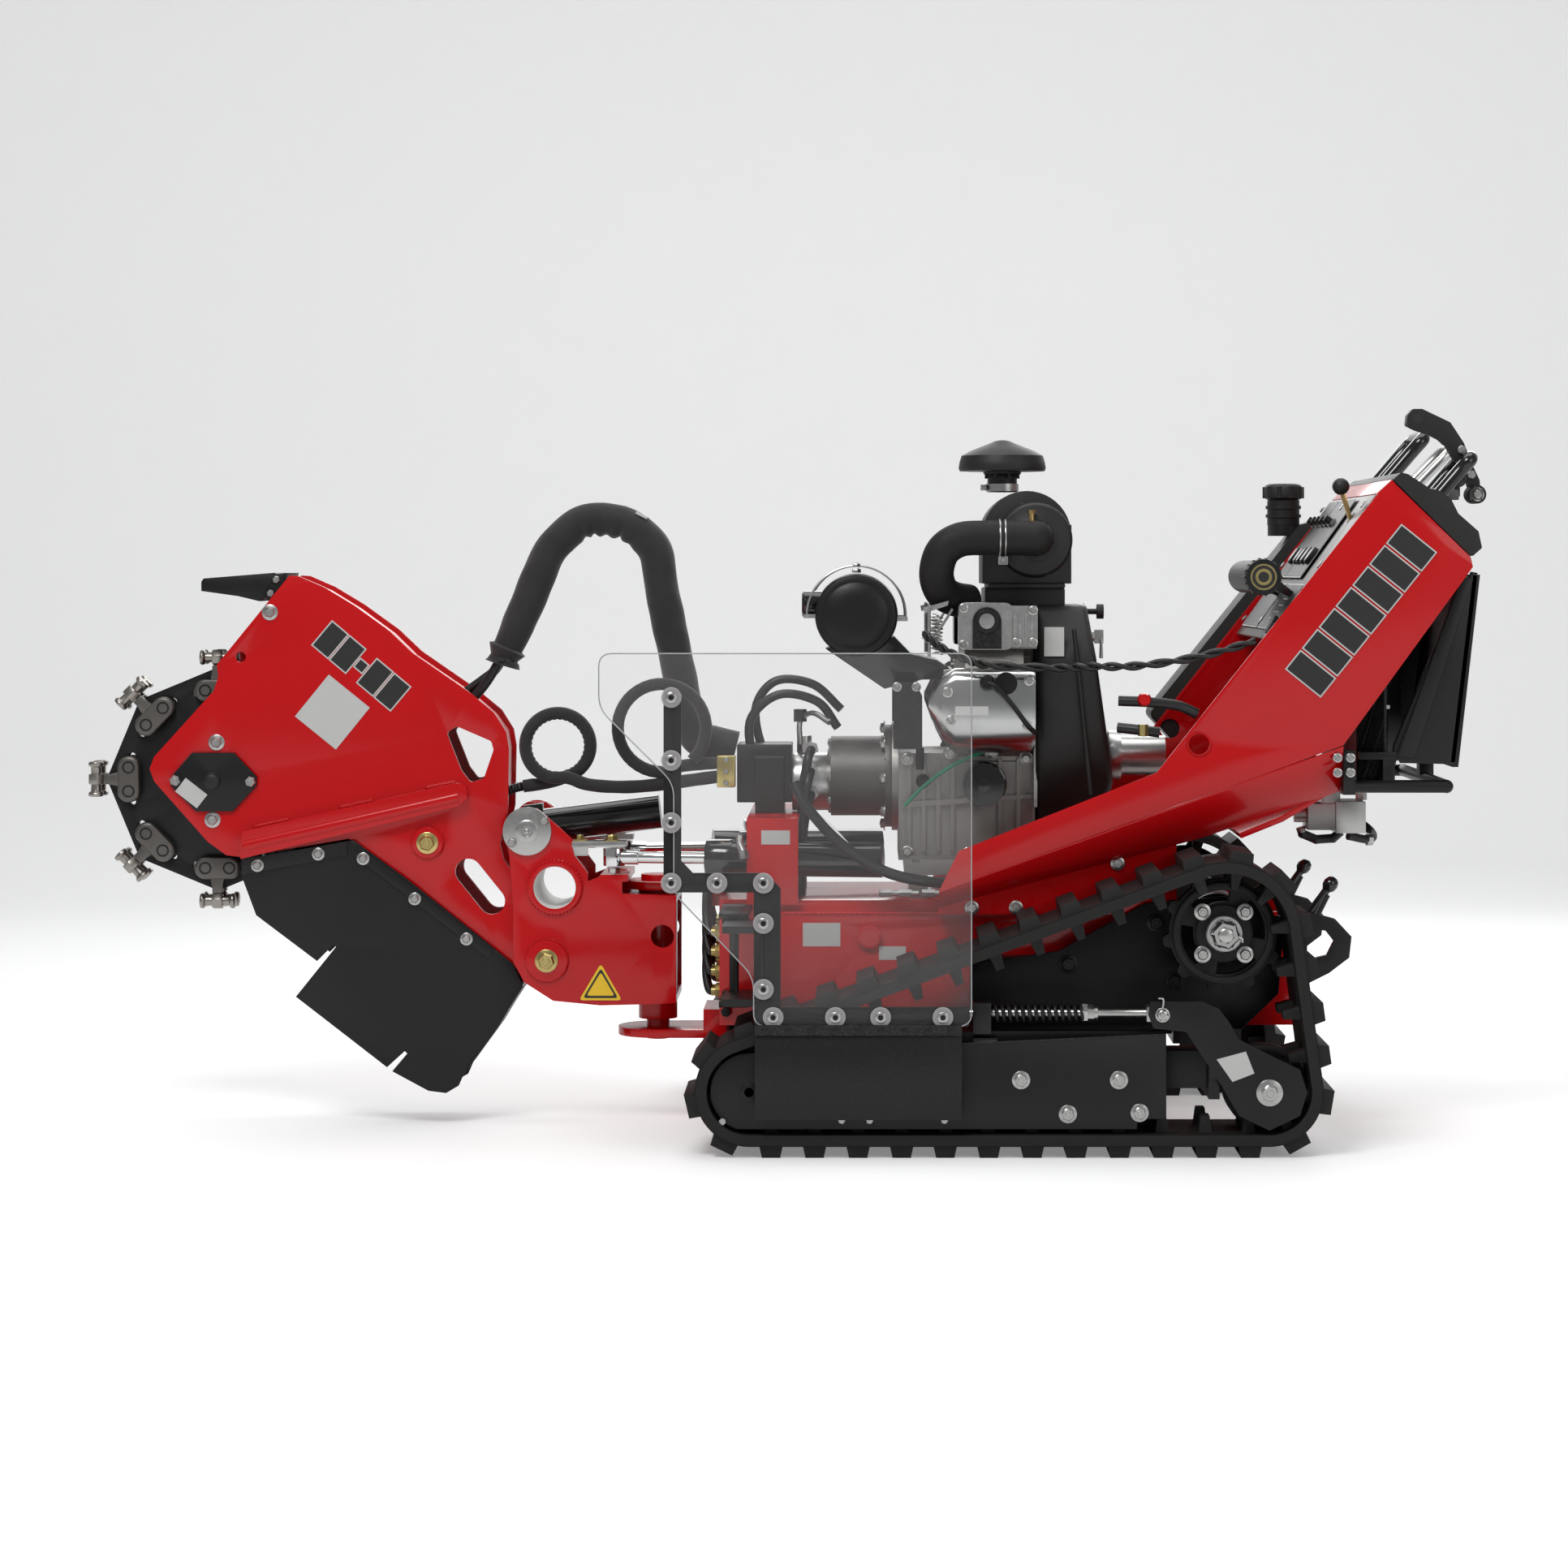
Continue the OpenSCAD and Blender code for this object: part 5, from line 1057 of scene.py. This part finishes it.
def build_console():
    dark, edge, zinc, black, blank, rings, tag = builds(7)
    # plain dark fields of the panel with a pale outline, no lettering
    for t0, t1, y0, y1 in ((0.42, 0.97, -120, 100), (0.42, 0.97, 112, 240),
                           (0.06, 0.36, -250, -20), (0.06, 0.36, 0, 240)):
        panel_patch(edge, t0 - 0.008, t1 + 0.008, y0 - 3, y1 + 3, 0.3, 0.4)
        panel_patch(dark, t0, t1, y0, y1, 0.4, 0.9)
    for t, y in ((0.1, -276), (0.1, 276), (0.92, -276), (0.92, 276), (0.5, -276), (0.5, 276),
                 (0.92, 0), (0.1, 0)):
        zinc.lathe([(0, 7), (2.4, 7), (3.2, 4), (0.4, 2)], panel_point(t, y, 0.4), PANEL_N, 20)
    for y in (-90, -30, 30, 75, 150):
        p = panel_point(0.56, y, 1.6)
        black.lathe([(0, 17), (6, 17), (8, 14), (8, 2)], p, PANEL_N, 32)
        blank.lathe([(8, 13.4), (8.2, 0.1)], p, PANEL_N, 28)
    for y in (-40, 20, 80, 140, 200):
        p = panel_point(0.8, y, 1.6)
        zinc.cyl(p, p + PANEL_N * 5, 9, n=20)
        black.cyl(p + PANEL_N * 5, p + PANEL_N * 17, 6.5, n=18)
    for i in range(5):
        panel_patch(blank, 0.12 + i * 0.045, 0.13 + i * 0.045, -180, -90 - 8 * i, 1.3, 0.3)
    dark.done("panel_dark_area", "ink", smooth=False)
    edge.done("panel_outlines", "label", smooth=False)
    zinc.done("panel_screws", "zinc")
    black.done("panel_knobs", "plastic")
    blank.done("panel_gauge_faces", "label", smooth=False)
    # collars round the choke and the key on the shroud's back, tag on the key
    for node, r in (("choke_knob", 11), ("ignition_key", 16)):
        low, high = box_mm(node)
        c = (low + high) / 2
        rings.lathe([(0, r + 5), (3, r + 5), (4, r), (0, r), (0, r + 5)], (low.x - 3, c.y, c.z),
                    (1, 0, 0), 28)
    rings.done("side_control_rings", "zinc")
    x, y = high.x, c.y
    tag.plate([(x - 6, 846), (x - 2, 846), (x - 1, 812), (x - 7, 812)], y - 9, y + 9)
    tag.done("key_tag", "zinc", "key", bevel=0.8)


def hand_bar(build, y0, y1, x, z, h):
    """Bent bar from one foot up, across and down to the other."""
    top = (x + 0.62 * h, z + 0.72 * h)
    pts = [(x - 14, z - 16), (x, z), (x + 0.42 * h, z + 0.49 * h), top]
    mid, reach = (y0 + y1) / 2, (y1 - y0) / 2 * 0.3
    build.tube([(a, y0, b) for a, b in pts]
               + [(top[0] + 4, mid + s * reach, top[1] + 4) for s in BOTH]
               + [(a, y1, b) for a, b in pts[::-1]], 12.5, n=20, smooth=9)


def build_hand_controls():
    bars, bail, knob, pivot, screws, hole, lever, ball = builds(8)
    hand_bar(bars, 120, 250, 694, 1120, 112)
    hand_bar(bars, -250, -120, 736, 1094, 84)
    bars.done("hand_bar_tubes", "gloss_black", replaces=["handle_bars"])
    half = [(712, 60, 1100), (728, 60, 1116), (776, 60, 1165), (788, 44, 1177)]
    bail.tube([(x, -y, z) for x, y, z in half] + [(790, 0, 1179)] + half[::-1], 9, n=18, smooth=6)
    bail.cyl((724, -66, 1112), (724, -48, 1112), 13)
    bail.cyl((724, 48, 1112), (724, 66, 1112), 13)
    bail.done("drive_bail_tube", "brushed", "drive_bail", replaces=["drive_lever"])
    knob.lathe([(0, 9), (4, 15), (12, 18), (22, 17), (28, 10)], (768, -226, 1108), (0, 0, 1), 30)
    knob.cyl((768, -226, 1092), (768, -226, 1110), 7)
    knob.done("drive_knob", "plastic")
    pivot.plate([(728, 1086), (772, 1086), (772, 1102), (752, 1110), (728, 1106)], -236, -216)
    pivot.plate([(792, 1086), (814, 1086), (818, 1102), (802, 1110), (792, 1102)], -217, -214)
    pivot.done("grip_pivot_metal", "dark_cast", bevel=1.5)
    screws.bolts(((781, 1172), (797, 1130)), -206, r=8, h=5)
    screws.bolts(((806, 1096),), -214, r=8, h=5, washer=12)
    screws.done("grip_screws", "zinc", "grip")
    hole.lathe([(0, 11), (1.2, 11), (1.2, 8), (0.2, 7.6), (0.2, 0.1)], (706, -206, 1228), n=28)
    hole.done("grip_hole_rim", "ink", "grip")
    lever.plate([(595, 1040), (602, 1040), (584, 1104), (574, 1104)], -184, -178)
    lever.cyl((600, -186, 1040), (600, -176, 1040), 7)
    lever.done("throttle_stem", "brass", "throttle", bevel=1)
    ball.lathe([(-14, 5), (-11, 10), (-5, 14), (0, 15), (5, 14), (10, 11), (14, 5)],
               (578, -181, 1110), (0, 0, 1), 28)
    ball.done("throttle_ball", "plastic", "throttle", replaces=["throttle_lever"])


ROCKER_RISE = (6, 11, 11, 6)


def build_rocker():
    """Rocker of the panel: a button dished in the middle, and its bezel."""
    rock, bezel = builds(2)
    low, high = box_mm("rocker_switch")
    p = (low + high) / 2 - PANEL_N * 6
    rock.skin([p + PANEL_U * 16 * a + Vector((0, 20 * b, 0)) + PANEL_N * rise
               for rises in ((0, 0, 0, 0), ROCKER_RISE)
               for (a, b), rise in zip(((-1, -1), (1, -1), (1, 1), (-1, 1)), rises)], 4)
    hinge, width = p + PANEL_N * 1.5, Vector((0, 24, 0))
    rock.cyl(hinge - width, hinge + width, 5)
    rock.done("rocker_button", "plastic", "rocker", bevel=1.5, replaces=["rocker_switch"])
    for a0, a1, b0, b1 in ((-24, -18, -30, 30), (18, 24, -30, 30), (-24, 24, -30, -26),
                           (-24, 24, 26, 30)):
        bezel.slab([p - PANEL_N * 2 + PANEL_U * a + Vector((0, b, 0))
                    for a, b in ((a0, b0), (a1, b0), (a1, b1), (a0, b1))], PANEL_N * 5)
    bezel.done("rocker_bezel", "black")


def build_fuel_cap():
    cap, neck = builds(2)
    x, y = 541, 362
    cap.lathe([(0, 30), (3, 36), (20, 37), (27, 33), (29.5, 26), (29.5, 4)], (x, y, 1097.5),
              (0, 0, 1), 36)
    for c, s in turn(10):
        cap.cyl((x + 33 * c, y + 33 * s, 1100), (x + 33 * c, y + 33 * s, 1121), 6, n=10)
    cap.done("fuel_cap_lugs", "plastic", "cap", replaces=["fuel_cap"])
    neck.lathe([(0, 30), (14, 30), (14, 33), (20, 33), (20, 30), (30, 30), (30, 33), (36, 33),
                (36, 30), (46, 30)], (x, y, 1050), (0, 0, 1), 32)
    neck.done("fuel_neck_thread", "plastic")


def build_canister():
    body, trim, disc, mark = builds(4)
    x, y, z = 437, -262, 955
    body.lathe([(0, 24), (2, 30), (6, 31), (36, 31), (38, 28.5), (320, 28.5), (322, 20)],
               (x, y, z), (0, 1, 0), 44)
    for c, s in turn(18):
        body.cyl((x + 31 * c, y + 6, z + 31 * s), (x + 31 * c, y + 34, z + 31 * s), 1.8, n=8)
    body.done("document_tube", "plastic", replaces=["document_canister"])
    trim.lathe(hoop(30, 26, 0, 3), (x, y, z), n=40)
    for foot in (-180, 0):
        trim.plate([(452, 938), (495.3, 918), (501, 926), (458, 960)], foot, foot + 20)
    trim.done("canister_rims", "gloss_black")
    # plain rings on the lid
    for outer, inner in ((22, 19.5), (14, 9)):
        disc.lathe(hoop(outer, inner, 0, 0.8), (x, y, z), n=40)
    disc.done("canister_disc", "yellow_zinc", smooth=False)
    mark.lathe([(0, 25), (0.4, 25), (0.5, 0.1)], (x, y, z), n=40)
    mark.done("canister_disc_mark", "ink", smooth=False)


build_console()
build_hand_controls()
build_rocker()
build_fuel_cap()
build_canister()


def build_cooler():
    fins, silver, black = builds(3)
    for i in range(46):
        z = 606 + i * 5.6
        fins.box((599, -238, z), (647, -30, z + 1.6))
        fins.box((599, 30, z), (647, 238, z + 1.6))
    for y in (-236, -120, 120, 236):
        fins.box((598, y - 4, 604), (648, y + 4, 860))
    fins.done("cooler_fin_plates", "black")
    for z in (608, 734, 858):
        silver.box((648, -238, z - 3), (654, 238, z + 3))
    for y in (-200, 200):
        silver.tube([(650, y, 628), (650, y, 838)], 6, n=14, smooth=1)
    silver.done("cooler_silver_edges", "brushed")
    # channel strut and rubber on the guard panel
    for sy in BOTH:
        slab_at(black, [(664, 652), (692, 648), (792, 952), (772, 958)], sy, 252, 264)
        slab_at(black, [(752, 640), (762, 640), (800, 958), (790, 960)], sy, 256, 262)
    black.done("guard_struts", "black", bevel=1.5)


FAN_X, FAN_Z = 680, 735


def build_fan():
    """Hub and nine twisted blades that narrow toward the root."""
    fan = Build()
    fan.lathe([(0, 32), (30, 32), (34, 26), (38, 10)], (664, 0, FAN_Z), (1, 0, 0), 36)
    for ca, sa in turn(9):
        verts = []
        for i in range(7):
            t = i / 6
            pitch = radians(34 - 16 * t)
            c = Vector((FAN_X + 6 * t, (34 + 74 * t) * ca, FAN_Z + (34 + 74 * t) * sa))
            d = Vector((cos(pitch), -sa * sin(pitch), ca * sin(pitch)))
            width = 28 * (0.6 + 0.5 * t) * (1 - 0.35 * t)
            verts += [c + d * width * s * 0.5 for s in BOTH]
        fan.add(verts, [[i, i + 1, i + 3, i + 2] for i in range(0, 12, 2)])
    obj = fan.done("fan_blades", "plastic", "fan", replaces=["cooler_fan"])
    obj.modifiers.new("thick", "SOLIDIFY").thickness = 0.002


def build_rear():
    rear, clamps, levers = builds(3)
    rear.tube([(604, 40, 540), (640, 60, 520), (662, 40, 500), (650, -10, 492), (610, -30, 500)],
              7.5, n=14, smooth=8)
    rear.tube([(588, 20, 550), (560, 40, 580), (556, 60, 640), (566, 70, 700)], 7.5, n=14)
    rear.done("rear_valve_hoses", "hose")
    for p in ((604, 40, 540), (650, -10, 492)):
        clamps.lathe([(-5, 10.5), (5, 10.5)], p, (1, 0.2, 0), 20)
    clamps.cyl((640, 20, 560), (640, 20, 572), 10, n=6)
    clamps.done("rear_valve_clamps", "zinc")
    for sy in BOTH:
        levers.tube([(500, sy * 170, 350), (514, sy * 186, 366), (540, sy * 190, 402),
                     (556, sy * 190, 424)], 7, n=12, smooth=6)
        levers.lathe([(-16, 6), (-8, 12), (0, 13), (8, 10), (12, 4)], (560, sy * 190, 430),
                     (0.6, 0, 0.8), 26)
    levers.done("rear_levers", "gloss_black")


build_cooler()
build_fan()
build_rear()


# ---------------------------------------------------------------- bodywork
def build_tower_details():
    stripe, pale, screws, red, cable, yellow, knob = builds(7)
    start, run = Vector((500, 0, 778)), Vector((198, 0, 247))
    along, step = run.normalized(), run.length / 7
    for sy in BOTH:
        # plain dark fields with a pale outline, no lettering
        for k in range(7):
            for grow, depth, build in ((2.5, 0.5, pale), (0, 0.9, stripe)):
                slab_at(build, block_outline(start, along, Vector((along.z, 0, -along.x)),
                                             k * step, (k + 0.82) * step, 36, grow),
                        sy, 301, 301 + depth)
        screws.bolts(((-57, 395), (18, 395), (109, 395), (190, 470)), sy * 258, r=9, h=6,
                     washer=12)
        screws.bolts(((557, 651), (557, 626), (579, 651), (579, 626)), sy * 301, r=6, h=4,
                     washer=8)
        red.lathe(hoop(20, 17.6, 0, 1.4), (324, sy * 301, 674), n=30)
    stripe.done("tower_stripes", "ink", smooth=False)
    pale.done("tower_stripe_outlines", "label", smooth=False)
    screws.done("tower_screws", "zinc")
    red.done("tower_hole_rim", "red")
    # twisted cable and hoses between engine and tower
    path = curve([(-139, -262, 860), (-109, -274, 836), (-70, -282, 817), (-31, -286, 807),
                  (80, -288, 802), (144, -290, 804), (226, -292, 806), (330, -292, 822),
                  (420, -288, 847)], 8)
    for phase in (0, pi):
        cable.tube([p + Vector((0, 4.2 * cos(i * 0.9 + phase), 4.2 * sin(i * 0.9 + phase)))
                    for i, p in enumerate(path)], 4, n=10, smooth=2)
    cable.tube([(190, -280, 746), (240, -286, 744), (290, -286, 738), (322, -280, 724)], 9, n=12)
    cable.tube([(190, -260, 700), (230, -270, 696), (260, -272, 692)], 9, n=12)
    cable.done("cable_runs", "hose")
    yellow.cyl((232, -276, 686), (232, -276, 706), 9, n=6)
    yellow.done("hose_fitting_yellow", "yellow_zinc")
    knob.lathe([(0, 8), (12, 12), (20, 9)], (232, -290, 749), n=24)
    knob.done("side_red_knob", "red")


build_tower_details()


# ---------------------------------------------------------------- floor, light and camera
SHEET_SIDE, SHEET_FRONT, SHEET_BACK, SHEET_TOP, SWEEP_R = 14.0, -12.0, 4.0, 9.0, 2.0
PAPER_GLOW = 0.22


def build_stage():
    """Plain sheet, flat under the machine and swept up behind it."""
    profile = ([(SHEET_FRONT, 0.0), (SHEET_BACK, 0.0)]
               + [(SHEET_BACK + SWEEP_R * s, SWEEP_R - SWEEP_R * c)
                  for c, s in turn(12, 7.5, 7.5)] + [(SHEET_BACK + SWEEP_R, SHEET_TOP)])
    n = len(profile)
    mesh = bpy.data.meshes.new("floor")
    mesh.from_pydata([(x, y, z) for x in (-SHEET_SIDE, SHEET_SIDE) for y, z in profile], [],
                     [[i, i + 1, n + i + 1, n + i] for i in range(n - 1)])
    for poly in mesh.polygons:
        poly.use_smooth = True
    floor = bpy.data.objects.new("studio_floor", mesh)
    bpy.context.scene.collection.objects.link(floor)
    paper = surface("studio_paper", (0.86, 0.86, 0.86), 0.6, vary=0.04, bump=0.0, tint=0.01,
                    spec=0.1)
    # the sheet shines a little to the camera only, as a studio sweep lit from behind does
    tree = paper.node_tree
    seen = shade(tree, "LightPath", {})["Is Camera Ray"]
    glow = shade(tree, "Math", {0: seen, 1: PAPER_GLOW}, operation="MULTIPLY")["Value"]
    fill(tree, tree.nodes["Principled BSDF"],
         {"Emission Color": (1, 1, 1, 1), "Emission Strength": glow})
    mesh.materials.append(paper)


def area_light(name, spot, target, size, power):
    data = bpy.data.lights.new(name, "AREA")
    data.shape = "RECTANGLE"
    data.size, data.size_y = size
    data.energy = power
    obj = bpy.data.objects.new(name, data)
    obj.location = spot
    obj.rotation_euler = (Vector(target) - Vector(spot)).to_track_quat("-Z", "Y").to_euler()
    bpy.context.scene.collection.objects.link(obj)


def build_light():
    scene = bpy.context.scene
    area_light("key", (-1.6, -3.2, 4.4), (0, 0, 0.6), (2.0, 1.5), 118)
    area_light("fill", (3.2, -3.8, 2.2), (0.2, 0, 0.6), (2.4, 2.4), 30)
    area_light("top", (0.2, 0.6, 4.6), (0, 0, 0.6), (4.4, 2.6), 78)
    area_light("rim", (0.5, 3.4, 2.6), (0, 0, 0.8), (4.0, 1.6), 60)
    world = bpy.data.worlds.new("studio")
    world.use_nodes = True
    tree = world.node_tree
    # more of the room's light falls on matt faces than shows in the shiny ones
    matt = shade(tree, "LightPath", {})["Is Diffuse Ray"]
    level = shade(tree, "Math", {0: matt, 1: 0.18, 2: 0.24}, operation="MULTIPLY_ADD")["Value"]
    fill(tree, tree.nodes["Background"], {"Color": (0.95, 0.96, 0.97, 1), "Strength": level})
    scene.world = world
    # plain display transform, so that the red keeps its depth
    scene.view_settings.view_transform = "Standard"
    scene.view_settings.look = "None"


LENS_MM, SENSOR_MM, PHOTO_PX = 83.88, 36.0, 1932
SHIFT_PX = (-104, -266)
CAMERA_SPOT = (-0.232, -6.445, 0.970)


def build_camera():
    data = bpy.data.cameras.new("photo_view")
    data.sensor_width, data.lens, data.clip_end = SENSOR_MM, LENS_MM, 60
    data.shift_x, data.shift_y = (px / PHOTO_PX for px in SHIFT_PX)
    cam = bpy.data.objects.new("photo_view", data)
    cam.location = CAMERA_SPOT
    cam.rotation_euler = (pi / 2, 0, 0)
    bpy.context.scene.collection.objects.link(cam)
    bpy.context.scene.camera = cam


build_stage()
build_light()
build_camera()
